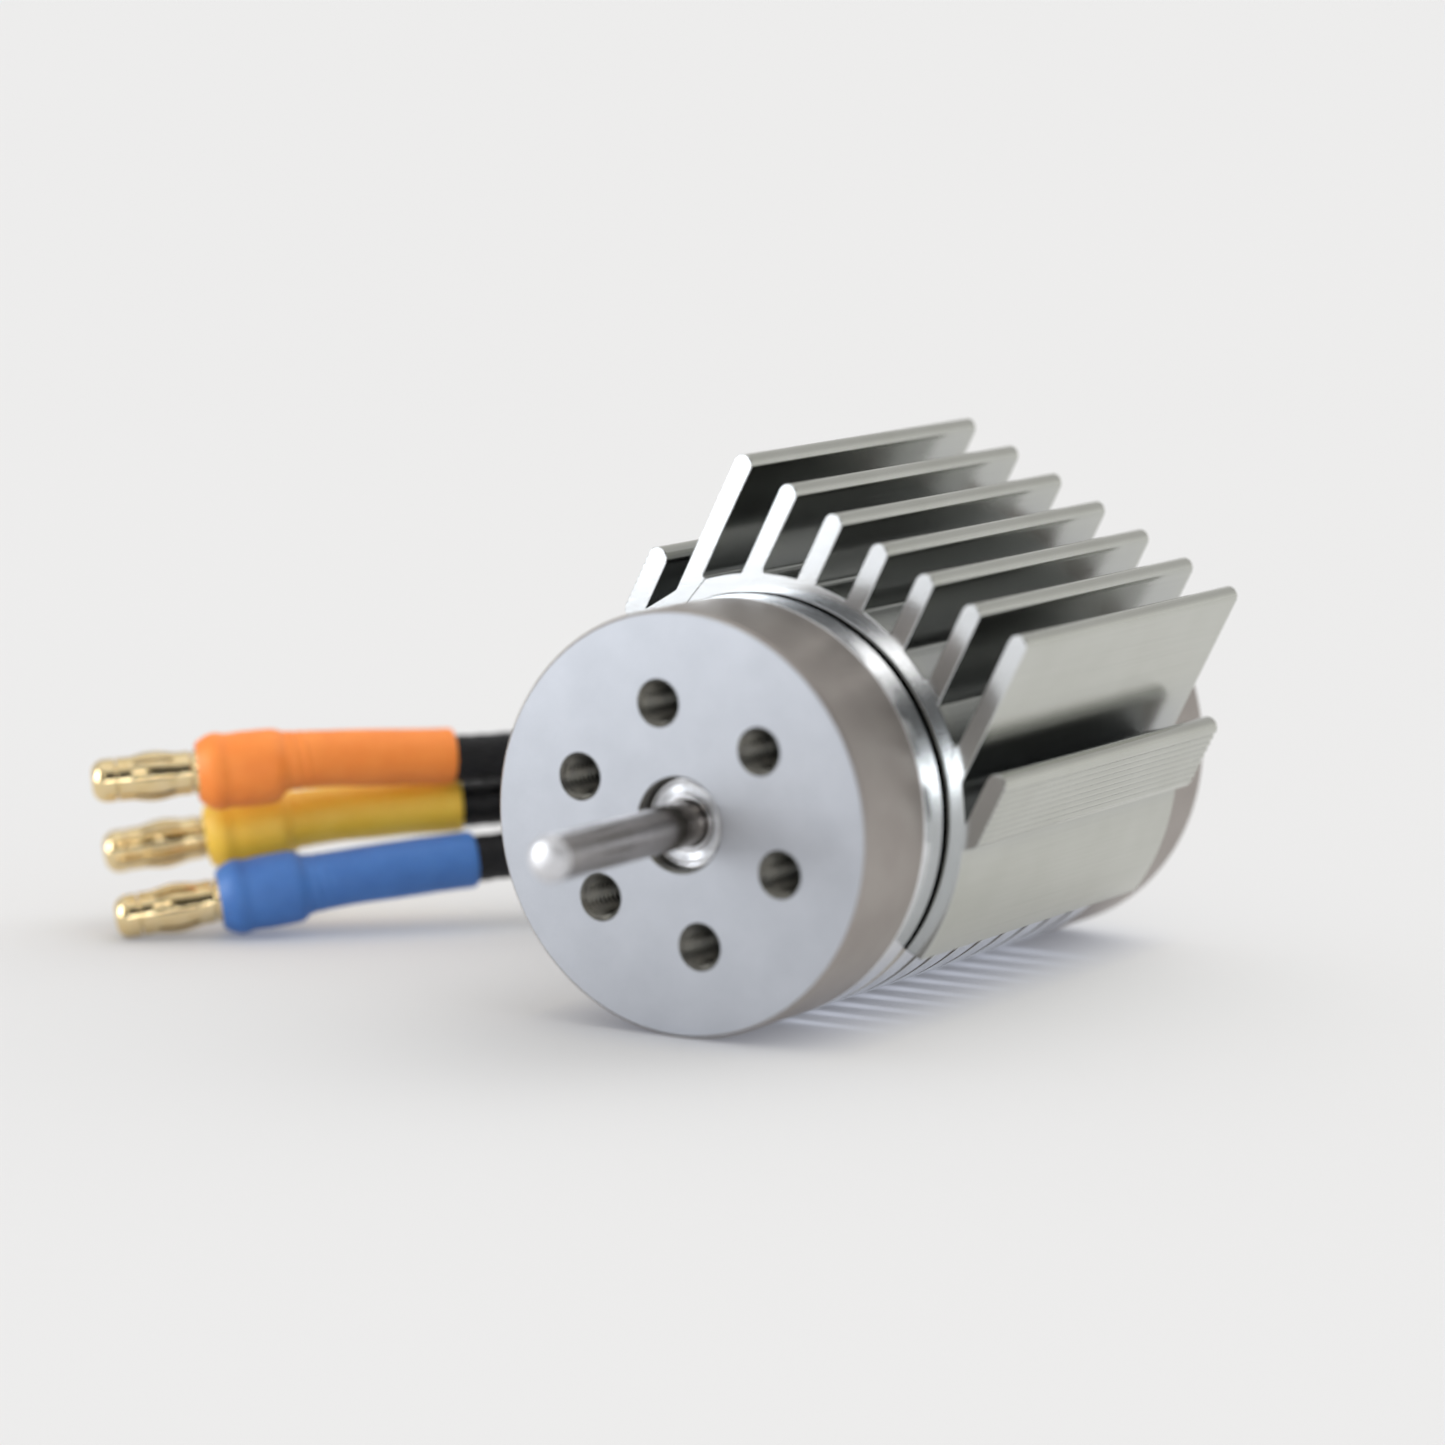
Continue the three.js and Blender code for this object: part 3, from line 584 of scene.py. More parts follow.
def add_front_cap(face_look, band_look, bore_look):
    """Builds the flat face and its back as planes that meet the turned walls and threaded holes."""
    chamfer = 0.22
    outer_wall = rounded([
        (BODY_RADIUS - chamfer, FACE_Y),
        (BODY_RADIUS, FACE_Y + chamfer, 0.06),
        (BODY_RADIUS, CAN_START - 0.04, 0.0),
        (BODY_RADIUS - 0.06, CAN_START, 0.0),
        (SPIGOT_RADIUS, CAN_START),
        (SPIGOT_RADIUS, SPIGOT_FRONT),
        (CAP_BORE_RADIUS, SPIGOT_FRONT),
        (CAP_BORE_RADIUS, FACE_Y + FACE_PLATE),
    ])
    seat_end = BEARING_END + 0.1
    inner_wall = [
        (BEARING_MOUTH_RADIUS, FACE_Y),
        (BEARING_SEAT_RADIUS, FACE_Y + BEARING_MOUTH_RADIUS - BEARING_SEAT_RADIUS),
        (BEARING_SEAT_RADIUS, seat_end),
        (LIP_RADIUS, seat_end),
        (LIP_RADIUS, FACE_Y + FACE_PLATE),
    ]
    vertices, faces, front_rims, back_rims = [], [], [], []

    def add_wall(radii, stations, centre_x=0.0, centre_z=0.0):
        """A turned wall through the plate. The two flat faces meet its first and last rings."""
        start = sum(len(ring) for ring in vertices)
        rows, columns = radii.shape
        angles = np.linspace(0, 2 * math.pi, columns, endpoint=False)
        for radius, y in zip(radii, stations):
            vertices.append(np.stack([centre_x + radius * np.cos(angles), np.full(columns, y),
                                      centre_z + radius * np.sin(angles)], axis=1))
        faces.extend(grid_faces(rows, columns, start=start))
        front_rims.append((vertices[-rows][:, [0, 2]], start))
        back_rims.append((vertices[-1][:, [0, 2]], start + (rows - 1) * columns))

    for wall in (outer_wall, inner_wall):
        profile = np.array(supported(wall, closed=False))
        add_wall(profile[:, :1] * np.ones(SEGMENTS), profile[:, 1])
    hole_angles = np.linspace(0, 2 * math.pi, HOLE_SEGMENTS, endpoint=False)
    depths, radii = thread_wall(hole_angles, FACE_PLATE)
    for index in range(BOLT_COUNT):
        middle = math.radians(BOLT_START_ANGLE + index * 360 / BOLT_COUNT)
        add_wall(radii, FACE_Y + depths, BOLT_CIRCLE_RADIUS * math.cos(middle),
                 BOLT_CIRCLE_RADIUS * math.sin(middle))
    faces.extend(plane_with_holes(front_rims))
    faces.extend(plane_with_holes(back_rims))

    def choose(centre, normal):
        radius = math.hypot(centre.x, centre.z)
        if radius > BODY_RADIUS - chamfer * 0.8:
            return 1
        # Painted shade: the hole walls and the bearing's mouth take the darker bore material.
        return 2 if radius < SPIGOT_RADIUS - 2 and not along_axis(normal) else 0

    add_piece("front_cap_fine", np.vstack(vertices), faces, [face_look, band_look, bore_look],
              "motor_body", "anodised_cap", choose, along_axis)


def add_can(land_look, groove_look, first_groove_look):
    """The ribbed can: flat polished lands with crisp edges between dark rounded grooves."""
    shave, corner, groove_lean = 0.07, 0.08, 0.25
    bottom = BODY_RADIUS - GROOVE_DEPTH
    outline = [(CAN_BORE_RADIUS, CAN_START)]
    for rib in range(RIB_COUNT):
        start = CAN_START + rib * RIB_PITCH
        end = start + RIB_WIDTH
        outline.append((BODY_RADIUS, start + shave, corner))
        outline.append((BODY_RADIUS, end - shave, corner))
        if rib < RIB_COUNT - 1:
            outline.append((bottom, end + groove_lean, corner))
            outline.append((bottom, end + GROOVE_WIDTH - groove_lean, corner))
    outline.append((CAN_BORE_RADIUS, CAN_END))

    def choose(centre, normal):
        if math.hypot(centre.x, centre.z) > BODY_RADIUS - LAND_DEPTH:
            return 0
        # Painted light: the first groove, shaded by the heat sink's ring, takes the paler copy of the groove
        # finish.
        return 2 if centre.y < CAN_START + RIB_PITCH else 1

    add_turned("can_fine", rounded(outline, 4), [land_look, groove_look, first_groove_look],
               "motor_body", "turned_can", choose=choose)


def exit_block(half_width, steps=24):
    """The long rounded plug shape that the leads pass through, from inside the case to outside."""
    outline = (arc(half_width, 0, 180, steps, (0, LEAD_PITCH))
               + arc(half_width, 180, 360, steps, (0, -LEAD_PITCH)))
    rings = [np.array([0, EXIT_Y + across, 0]) + EXIT_OUTWARD * radius + EXIT_SIDEWAYS * up
             for radius in (CAP_BORE_RADIUS - 3, BODY_RADIUS + 2) for across, up in outline]
    count = len(outline)
    faces = grid_faces(2, count)
    faces.append(list(range(count)))
    faces.append(list(range(count, 2 * count)))
    return np.array(rings), faces


def boolean(piece, operation, vertices, faces):
    """Joins or cuts a piece's mesh with a closed shape, by an exact boolean."""
    mesh, bm = closed_mesh("cutter", vertices, faces)
    bm.to_mesh(mesh)
    bm.free()
    cutter = link("cutter", mesh)
    modifier = piece.modifiers.new("cut", "BOOLEAN")
    modifier.operation = operation
    modifier.solver = "EXACT"
    modifier.object = cutter
    bpy.context.view_layer.update()
    graph = bpy.context.evaluated_depsgraph_get()
    result = bpy.data.meshes.new_from_object(piece.evaluated_get(graph), depsgraph=graph)
    piece.modifiers.clear()
    piece.data = result
    result.set_sharp_from_angle(angle=SHARP_ANGLE)
    bpy.data.objects.remove(cutter)


def add_rear_cap(face_look, band_look):
    wall, boss_length, boss_radius, chamfer = 2.2, 2.9, 4.6, 0.6
    cavity_end = REAR_Y - wall
    boss_start = cavity_end - boss_length
    profile = rounded([
        (0, cavity_end),
        (BEARING_SEAT_RADIUS, cavity_end),
        (BEARING_SEAT_RADIUS, boss_start),
        (boss_radius, boss_start),
        (boss_radius, cavity_end),
        (CAP_BORE_RADIUS, cavity_end),
        (CAP_BORE_RADIUS, SPIGOT_REAR),
        (SPIGOT_RADIUS, SPIGOT_REAR),
        (SPIGOT_RADIUS, CAN_END),
        (BODY_RADIUS - 0.06, CAN_END),
        (BODY_RADIUS, CAN_END + 0.06),
        (BODY_RADIUS, REAR_Y - chamfer, 0.3),
        (BODY_RADIUS - chamfer, REAR_Y, 0.3),
        (0, REAR_Y),
    ])

    def choose(centre, normal):
        on_side = math.hypot(centre.x, centre.z) > BODY_RADIUS - chamfer + 0.02
        return 1 if on_side else 0

    cap = add_turned("rear_cap_fine", profile, [face_look, band_look], "motor_body", "anodised_cap",
                     choose=choose, flat=along_axis)
    boolean(cap, "DIFFERENCE", *exit_block(SLOT_HALF_WIDTH))


def add_grommet(look):
    """The rubber plug in the rear cap's slot, trimmed just inside and outside the wall."""
    plug = add_piece("lead_grommet_fine", *exit_block(GROMMET_HALF_WIDTH), [look], "motor_body", "rubber")
    inside, outside = CAP_BORE_RADIUS - 0.3, BODY_RADIUS + 0.28
    boolean(plug, "INTERSECT", *revolve([(inside, CAN_END), (outside, CAN_END), (outside, REAR_Y),
                                         (inside, REAR_Y)]))
    hole_radius, hole_start, hole_end = SLEEVE_RADIUS + 0.07, 5, 18
    turned, faces = revolve([(0, hole_start), (hole_radius, hole_start), (hole_radius, hole_end),
                             (0, hole_end)], HOLE_SEGMENTS)
    for row in (-1, 0, 1):
        placed = (np.array([0, EXIT_Y, 0]) + turned[:, 1:2] * EXIT_OUTWARD
                  + turned[:, :1] * np.array([0, 1, 0])
                  + (turned[:, 2:] + row * LEAD_PITCH) * EXIT_SIDEWAYS)
        boolean(plug, "DIFFERENCE", placed, faces)


# ---- Heat sink ----
def sink_outline():
    """The sink's cross-section, with across to the right and up the fins, before it is rolled."""
    skirt = SINK_SKIRT_ANGLE
    tip = FIN_THICKNESS / 2
    side_tip = SIDE_FIN_THICKNESS / 2
    side_centre = SIDE_FIN_FACE - side_tip
    side_inner = SIDE_FIN_FACE - SIDE_FIN_THICKNESS
    root = 0.22

    def on_wall(across):
        return math.sqrt(SINK_OUTER_RADIUS ** 2 - across ** 2)

    def wall_angle(across):
        return math.degrees(math.acos(across / SINK_OUTER_RADIUS))

    def serrations():
        """Shallow scallops up the outer face of a side fin."""
        pitch, depth, steps = 0.5, 0.1, 6
        low, high = SIDE_FIN_STEP_HIGH + 0.12, SIDE_FIN_TIP_HEIGHT - side_tip
        count = int((high - low) / pitch)
        heights = np.linspace(low, low + count * pitch, count * steps + 1)
        dips = depth * np.abs(np.sin(math.pi * (heights - low) / pitch)) - depth
        return list(zip(SIDE_FIN_FACE + dips, heights))

    def root_arc(across, side):
        """The small fillet where a fin's face meets the wall. side is +1 on the fin's right."""
        x = across + side * tip
        centre_x = x + side * root
        centre_y = math.sqrt((SINK_OUTER_RADIUS + root) ** 2 - centre_x ** 2)
        wall = math.degrees(math.atan2(-centre_y, -centre_x))
        if side > 0:
            return arc(root, wall % 360, 180, 5, (centre_x, centre_y))
        return arc(root, 0, (wall % 360) - 360, 5, (centre_x, centre_y))

    step_angle = math.degrees(math.asin(SIDE_FIN_STEP_LOW / SINK_OUTER_RADIUS))
    half = [*arc(SINK_OUTER_RADIUS, -skirt + 0.8, step_angle, 24)]
    half.append((SIDE_FIN_FACE - 0.1, SIDE_FIN_STEP_HIGH - 0.05))
    half += serrations()
    half += arc(side_tip, 0, 180, 16, (side_centre, SIDE_FIN_TIP_HEIGHT - side_tip))
    half.append((side_inner, on_wall(side_inner) + 0.12))
    half.append((side_inner - 0.1, on_wall(side_inner - 0.1) + 0.02))
    for fin in range(FINS_EACH_SIDE, -1, -1):
        across = fin * FIN_PITCH
        half += root_arc(across, 1)
        tip_arc = arc(tip, 0, 180, 16, (across, FIN_TIP_HEIGHT - tip))
        if fin == 0:
            half += tip_arc[:9]
        else:
            half += tip_arc
            half += root_arc(across, -1)
            gap_start = wall_angle(across - tip - root)
            gap_end = wall_angle(across - FIN_PITCH + tip + root)
            half += arc(SINK_OUTER_RADIUS, gap_start + 0.4, gap_end - 0.4, 5)
    mirrored = [(-x, y) for x, y in half[-2::-1]]
    inner = arc(SINK_INNER_RADIUS, 180 + skirt, -skirt, 120)
    return half + mirrored + inner


def add_heat_sink(side_look, end_look):
    outline = np.array(supported(sink_outline(), 0.04))
    before = np.roll(outline, 1, axis=0)
    after = np.roll(outline, -1, axis=0)
    direction = after - before
    direction /= np.linalg.norm(direction, axis=1)[:, None]
    inward = np.stack([-direction[:, 1], direction[:, 0]], axis=1)
    deburr = 0.05
    roll = math.radians(SINK_ROLL)
    across_axis = np.array([math.cos(roll), 0, -math.sin(roll)])
    up_axis = np.array([math.sin(roll), 0, math.cos(roll)])

    def ring(points, y):
        return points[:, :1] * across_axis + points[:, 1:] * up_axis + np.array([0, y, 0])

    rings = [ring(outline + inward * deburr, SINK_START), ring(outline, SINK_START + deburr),
             ring(outline, SINK_END - deburr), ring(outline + inward * deburr, SINK_END)]
    count = len(outline)
    faces = grid_faces(4, count)
    faces.append(list(range(count)))
    faces.append(list(range(3 * count, 4 * count)))

    def choose(centre, normal):
        return 1 if abs(normal.y) > 0.5 else 0

    add_piece("heat_sink_fine", np.vstack(rings), faces, [side_look, end_look], "motor_body",
              "anodised_sink", choose, along_axis)


# ---- Shaft and bearings ----
def add_shaft(look, tip_look):
    dome, steps, edge = 0.95, 14, 0.2
    nose = []
    for step in range(steps + 1):
        angle = math.radians(90 * step / steps)
        nose.append((SHAFT_RADIUS * math.sin(angle), SHAFT_TIP + dome * (1 - math.cos(angle)) ** 1.15))
    profile = nose + [(SHAFT_RADIUS, SHAFT_REAR - edge), (SHAFT_RADIUS - edge, SHAFT_REAR), (0, SHAFT_REAR)]

    def choose(centre, normal):
        return 1 if centre.y < SHAFT_TIP + dome else 0

    add_turned("shaft_fine", profile, [look, tip_look], "rotor", "ground_steel", SMALL_SEGMENTS,
               choose=choose)


def add_bearing(prefix, ring_look, shield_look):
    """A shielded ball bearing: chamfered rings and a dished shield with two turned lines."""
    start, end = span(f"{prefix}_bearing_outer_ring", "y")
    inner_outer = round_radius(f"{prefix}_bearing_inner_ring", "z")
    wall = 0.35
    inner_bore = inner_outer - wall
    outer_bore = BEARING_RADIUS - wall
    outer_ring = [
        (outer_bore, start + 0.04, 0.03),
        (outer_bore + 0.07, start, 0.03),
        (BEARING_RADIUS, start, 0.12),
        (BEARING_RADIUS, end, 0.12),
        (outer_bore, end, 0.05),
    ]
    inner_ring = [
        (inner_bore, start, 0.1),
        (inner_outer, start, 0.05),
        (inner_outer, end, 0.05),
        (inner_bore, end, 0.1),
    ]
    shield_start, shield_end = span(f"{prefix}_bearing_shield", "y")
    inner, outer = inner_outer + 0.04, outer_bore - 0.02
    line_depth, line_half_width = 0.12, 0.09
    lines = []
    for share in (0.3, 0.62):
        middle = inner + share * (outer - inner)
        lines += [(middle - line_half_width, shield_start), (middle, shield_start + line_depth),
                  (middle + line_half_width, shield_start)]
    shield = [
        (inner, shield_start + 0.03, 0.02),
        (inner + 0.06, shield_start, 0.03),
        *lines,
        (outer - 0.06, shield_start, 0.03),
        (outer, shield_start + 0.04, 0.02),
        (outer, shield_end, 0.02),
        (inner, shield_end, 0.02),
    ]
    for piece, outline, look, body in (("outer_ring", outer_ring, ring_look, "motor_body"),
                                       ("inner_ring", inner_ring, ring_look, "rotor"),
                                       ("shield", shield, shield_look, "motor_body")):
        add_turned(f"{prefix}_bearing_{piece}_fine", rounded(outline), [look], body, "bearing_steel",
                   SMALL_SEGMENTS)


# ---- Leads ----
def add_lead_piece(part, name, line, vertices, faces, look, slot):
    """A piece shaped straight along Y and then laid along its lead."""
    add_piece(f"{part}_{name}_fine", lay_along(vertices, line), faces, [look], "motor_body", slot)


def add_plug_pin(name, line, look):
    nose_radius = 0.98
    profile = rounded([
        (0, 0),
        (1.55, 0, nose_radius),
        (1.55, 1.7, 0.04),
        (1.05, 1.7),
        (1.05, 7.15),
        (1.5, 7.15, 0.05),
        (1.56, 7.5),
        (2.15, 8.3, 0.2),
        (2.15, 12.6),
        (1.15, 12.6),
        (1.15, 8.9),
        (0, 8.9),
    ], 10)
    add_lead_piece("plug_pin", name, line, *revolve(supported(profile), SMALL_SEGMENTS), look, "gold_plate")


def spring_radius(station):
    """Outside radius of the lantern spring: two plain cuffs with a smooth bulge between them."""
    cuff, bulge = 1.55, 0.23
    start, end = 2.7, 6.1
    share = np.clip((station - start) / (end - start), 0, 1)
    return cuff + bulge * np.sin(math.pi * share) ** 1.4


def add_plug_spring(name, line, look):
    """A sleeve slit into eight blades. Cells of the grid inside a slit are left out and walled."""
    blades, blade_cells, slit_cells = 8, 14, 4
    slit_angle, wall, edge = 0.15, 0.24, 0.04
    blade_angle = 2 * math.pi / blades - slit_angle
    angles, is_slit = [], []
    for blade in range(blades):
        start = blade * 2 * math.pi / blades
        angles += list(start + np.arange(slit_cells) * slit_angle / slit_cells)
        angles += list(start + slit_angle + np.arange(blade_cells) * blade_angle / blade_cells)
        is_slit += [True] * slit_cells + [False] * blade_cells
    stations = np.concatenate([[1.8, 1.84, 2.66], np.linspace(2.75, 6.05, 31), [6.14, 7.01, 7.05]])
    outer = spring_radius(stations)
    outer[[0, -1]] -= edge
    inner = spring_radius(stations) - wall
    columns = len(angles)
    rows = len(stations)
    vertices = np.vstack([tube_points(radii[:, None], stations, angles) for radii in (outer, inner)])
    offset = rows * columns
    slit_rows = (stations[:-1] >= 2.95) & (stations[1:] <= 5.9)

    def solid(row, column):
        return 0 <= row < rows - 1 and not (slit_rows[row] and is_slit[column % columns])

    faces = []
    for row in range(rows - 1):
        for column in range(columns):
            if not solid(row, column):
                continue
            after = (column + 1) % columns
            corners = [row * columns + column, row * columns + after,
                       (row + 1) * columns + after, (row + 1) * columns + column]
            faces.append(corners)
            faces.append([corner + offset for corner in reversed(corners)])
            neighbours = ((row - 1, column), (row, column + 1), (row + 1, column), (row, column - 1))
            for side, neighbour in enumerate(neighbours):
                if not solid(*neighbour):
                    first, second = corners[side], corners[(side + 1) % 4]
                    faces.append([second, first, first + offset, second + offset])
    add_lead_piece("plug_spring", name, line, vertices, faces, look, "gold_plate")


def soft_waves(stations, angles, height, wave_count=7):
    """A smooth uneven surface: a few broad waves with seeded phases."""
    total = np.zeros((len(stations), len(angles)))
    for _ in range(wave_count):
        around = rng.integers(0, 4)
        along = rng.uniform(0.3, 1.4)
        phase = rng.uniform(0, 2 * math.pi)
        total += np.cos(around * angles[None, :] + along * stations[:, None] + phase)
    return height * total / math.sqrt(wave_count)


def add_heat_shrink(name, line, look, sag):
    """Tubing shrunk over the solder cup and the sleeve: a collar, a barrel, a shoulder and a neck."""
    length = SHRINK_END - SHRINK_START
    controls = np.array([
        (0.0, 2.0), (0.08, 2.1), (0.3, 2.26), (0.6, 2.44), (0.95, 2.6), (1.3, 2.68), (1.6, 2.68),
        (1.9, 2.6), (2.2, 2.55), (2.6, 2.57), (3.2, 2.62), (4.6, 2.62), (5.4, 2.60), (5.75, 2.52),
        (5.98, 2.36), (6.18, 2.2), (6.45, 2.12), (7.0, 2.08), (8.0, 2.05), (9.5, 2.03), (12.0, 2.05),
        (16.0, 2.03), (18.1, 2.05), (18.3, 2.03), (18.42, 1.98), (length, 1.9),
    ])
    stations = np.concatenate([np.linspace(0, 0.5, 10)[:-1], np.linspace(0.5, 18.1, 170),
                               np.linspace(18.15, length, 8)])
    angles = np.linspace(0, 2 * math.pi, 112, endpoint=False)
    outer = np.interp(stations, controls[:, 0], controls[:, 1])
    kernel = np.array([1, 2, 1]) / 4
    smooth = np.convolve(np.pad(outer, 1, mode="edge"), kernel, mode="valid")
    fade = np.clip(stations / 0.8, 0, 1)[:, None] * np.clip((length - stations) / 0.8, 0, 1)[:, None]
    uneven = soft_waves(stations, angles, 0.014)
    wrinkle_share = np.exp(-((stations - 7.2) / 0.9) ** 2)[:, None]
    wrinkles = 0.03 * wrinkle_share * np.sin(2 * math.pi * stations[:, None] / 0.75 + 2 * np.sin(angles))
    barrel_share = np.clip((6.1 - stations) / 1.2, 0, 1)[:, None] * fade
    under = np.clip(-np.sin(angles), 0, 1)[None, :]
    radii = smooth[:, None] + fade * np.minimum(uneven, 0.02) + wrinkles + sag * barrel_share * under
    inner_controls = np.array([(0.0, 1.86), (0.6, 2.2), (5.2, 2.3), (6.2, 1.75), (length, 1.75)])
    inner_stations = np.linspace(length, 0, 40)
    inner = np.interp(inner_stations, inner_controls[:, 0], inner_controls[:, 1])
    all_stations = np.concatenate([stations, inner_stations]) + SHRINK_START
    all_radii = np.vstack([radii, np.repeat(inner[:, None], len(angles), axis=1)])
    neck_share = np.clip((all_stations - SHRINK_START - 5.6) / 0.8, 0, 1)
    vertices = tube_points(all_radii, all_stations, angles, sag * neck_share[:, None])
    faces = grid_faces(len(all_stations), len(angles), close_rows=True)
    add_lead_piece("heat_shrink", name, line, vertices, faces, look, f"shrink_{name}")


def add_sleeve(name, line, look):
    """A braided sleeve: two families of strands wind opposite ways and cross over each other."""
    strands, lay, height, uneven, swell = 14, 5.2, 0.06, 0.008, 0.14
    start, end = 15.0, line[1][-1] - 0.8
    stations = np.linspace(start, end, 420)
    angles = np.linspace(0, 2 * math.pi, 168, endpoint=False)
    wind = 2 * math.pi * stations[:, None] / lay * strands / 4
    around = strands * angles[None, :]
    over = 0.5 + 0.5 * np.cos(around / 2) * np.cos(wind / 2)
    first, second = np.cos(around + wind), np.cos(around - wind)
    weave = np.maximum(first * over, second * (1 - over))
    outer = SLEEVE_RADIUS - height + height * weave + soft_waves(stations, angles, uneven)
    swollen = swell * np.clip((end - EXIT_STRAIGHT_INNER - stations) / EXIT_STRAIGHT_INNER, 0, 1)[:, None]
    outer = np.minimum(outer, SLEEVE_RADIUS + 0.02) + swollen
    inner_stations = np.linspace(end, start, 60)
    radii = np.vstack([outer, np.full((len(inner_stations), len(angles)), SLEEVE_BORE)])
    all_stations = np.concatenate([stations, inner_stations])
    faces = grid_faces(len(all_stations), len(angles), close_rows=True)
    add_lead_piece("lead_sleeve", name, line, tube_points(radii, all_stations, angles), faces, look,
                   "woven_sleeve")


# ---- Carried-over CAD nodes ----
def dress_inner_nodes():
    """Gives each CAD node that stays its finish."""
    steel = patterned("plain_steel", (170, 171, 174), (150, 151, 155), 0.25, 0.4, 10, 0.004)
    finishes = {
        "enamelled_copper": patterned("enamelled_copper", (176, 92, 52), (140, 66, 34), 0.3, 0.5, 9, 0.03,
                                      (1, 0.15, 1)),
        "lamination_steel": patterned("lamination_steel", (128, 130, 134), (98, 100, 104), 0.4, 0.6, 5,
                                      0.02, (0.1, 3, 0.1)),
        "magnet": patterned("nickel_plate", (176, 176, 176), (158, 158, 160), 0.2, 0.35, 3, 0.004),
        "brass": patterned("turned_brass", (196, 164, 96), (176, 142, 76), 0.25, 0.4, 12, 0.004),
        "magnet_wrap": patterned("fibre_wrap", (46, 47, 51), (30, 31, 34), 0.45, 0.65, 16, 0.01,
                                 (0.2, 1, 0.2), 3, 0.0),
        "ground_steel": steel,
        "bearing_steel": steel,
    }
    for part in frame["record"]["subparts"]:
        node = frame["nodes"][part["node"]]
        finish = finishes.get(part["material_slot"])
        if node.hide_render or finish is None:
            continue
        node.data.materials.clear()
        node.data.materials.append(finish)


# ---- Set ----
FLOOR_TONE = (0.592, 0.588, 0.583)
FLOOR_GLOW = (0.211, 0.211, 0.212)
# Painted shade near contact and painted light streaks beside the can, drawn in the floor's colour and glow.
CONTACT_REACH = 5
PAINTED_CONTACT_SHADE_TONE = (0.50, 0.515, 0.55, 1)
PAINTED_CONTACT_SHADE_GLOW = (0.145, 0.150, 0.168, 1)
PAINTED_STREAK_GLOW = (0.30, 0.315, 0.355, 1)
BACKDROP_TONE = (0.850, 0.845, 0.837)
AMBIENT = 0.955
AMBIENT_LEAN = (0.4, 0.5, 0)
SUN_STRENGTH = 0.5
WINDOW_PLACE = (420, 620, 800)
WINDOW_SPREAD = 70
LEAD_FILL_STRENGTH = 2.2
LEAD_FILL_PLACE = (-450, -800, 260)
LEAD_FILL_SPREAD = 60
BACK_GLOW = 0.84
CEILING_DIM = 0.58
ROOM_DARK = 0.07
ROOM_AZIMUTH = math.radians(24)


def studio_world():
    """Three skies in one: what the camera sees, what lights matt surfaces, and what metal reflects.
    The reflected one is bright all round but for the dark room behind the camera."""
    world = bpy.data.worlds.new("studio")
    bpy.context.scene.world = world
    world.use_nodes = True
    world.node_tree.nodes.clear()
    sky = Nodes(world.node_tree)

    def remap(value, start, end, low, high):
        return sky.spread(value, low, high, start, end, interpolation_type="SMOOTHSTEP")

    def vector(operation, first, second=(0, 0, 0), output="Vector"):
        return sky.node("ShaderNodeVectorMath", {0: first, 1: second}, output, operation=operation)

    def glow(colour, strength):
        return sky.node("ShaderNodeBackground", {"Color": (*colour, 1), "Strength": strength})

    def switch(ray, other, seen):
        return sky.node("ShaderNodeMixShader", {0: path.outputs[ray], 1: other, 2: seen})

    direction = sky.node("ShaderNodeTexCoord")
    height = sky.node("ShaderNodeSeparateXYZ", {0: direction}, 2)
    compass = vector("NORMALIZE", vector("MULTIPLY", direction, (1, 1, 0)))
    toward_room = (math.sin(ROOM_AZIMUTH), -math.cos(ROOM_AZIMUTH), 0)
    across = remap(vector("DOT_PRODUCT", compass, toward_room, "Value"), 0.54, 0.64, 0, 1)
    wall = remap(height, 0.05, 0.5, BACK_GLOW, CEILING_DIM)
    bright = sky.maths("ADD", wall, remap(height, 0.6, 0.95, 0, 0.4))
    band = sky.maths("MULTIPLY", remap(height, 0.12, 0.18, 0, 1), remap(height, 0.74, 0.84, 1, 0))
    dark = sky.maths("MULTIPLY", band, across)
    level = sky.node("ShaderNodeMix", {0: dark, 2: bright, 3: ROOM_DARK})
    even = sky.maths("ADD", vector("DOT_PRODUCT", direction, AMBIENT_LEAN, "Value"), AMBIENT)
    path = sky.tree.nodes.new("ShaderNodeLightPath")
    unseen = switch("Is Glossy Ray", glow((1.0, 1.0, 1.0), even), glow((1.0, 0.995, 0.985), level))
    surface = sky.tree.nodes.new("ShaderNodeOutputWorld")
    sky.put(surface, 0, switch("Is Camera Ray", unseen, glow(BACKDROP_TONE, 1.0)))


def aim(lamp_object, place, target):
    lamp_object.location = Vector(place) * MM
    lamp_object.rotation_mode = "QUATERNION"
    lamp_object.rotation_quaternion = (Vector(target) - Vector(place)).to_track_quat("-Z", "Y")


def reflection_panel(name, place, target, size, radiance, colour):
    """A glowing card that only shiny surfaces see. Places and sizes are in millimetres."""
    lamp = bpy.data.lights.new(name, "AREA")
    lamp.shape = "RECTANGLE"
    lamp.size, lamp.size_y = size[0] * MM, size[1] * MM
    lamp.energy = 4 * lamp.size * lamp.size_y * radiance
    lamp.color = colour
    card = link(name, lamp)
    aim(card, place, target)
    card.visible_camera = False
    card.visible_diffuse = False


def soft_sun(name, place, strength, spread):
    """Broad light from one side that shapes the matt parts and is not mirrored in the metal."""
    lamp = bpy.data.lights.new(name, "SUN")
    lamp.energy = strength
    lamp.angle = math.radians(spread)
    sun = link(name, lamp)
    aim(sun, place, (0, 0, 0))
    sun.visible_glossy = False
    return sun


def light_leads():
    """A front fill that reaches only the leads, which crowd each other's light."""
    leads = bpy.data.collections.new("leads")
    for piece in bpy.context.scene.objects:
        if piece.name.startswith(("heat_shrink_", "plug_")) and not piece.hide_render:
            leads.objects.link(piece)
    fill = soft_sun("lead_fill", LEAD_FILL_PLACE, LEAD_FILL_STRENGTH, LEAD_FILL_SPREAD)
    fill.light_linking.receiver_collection = leads


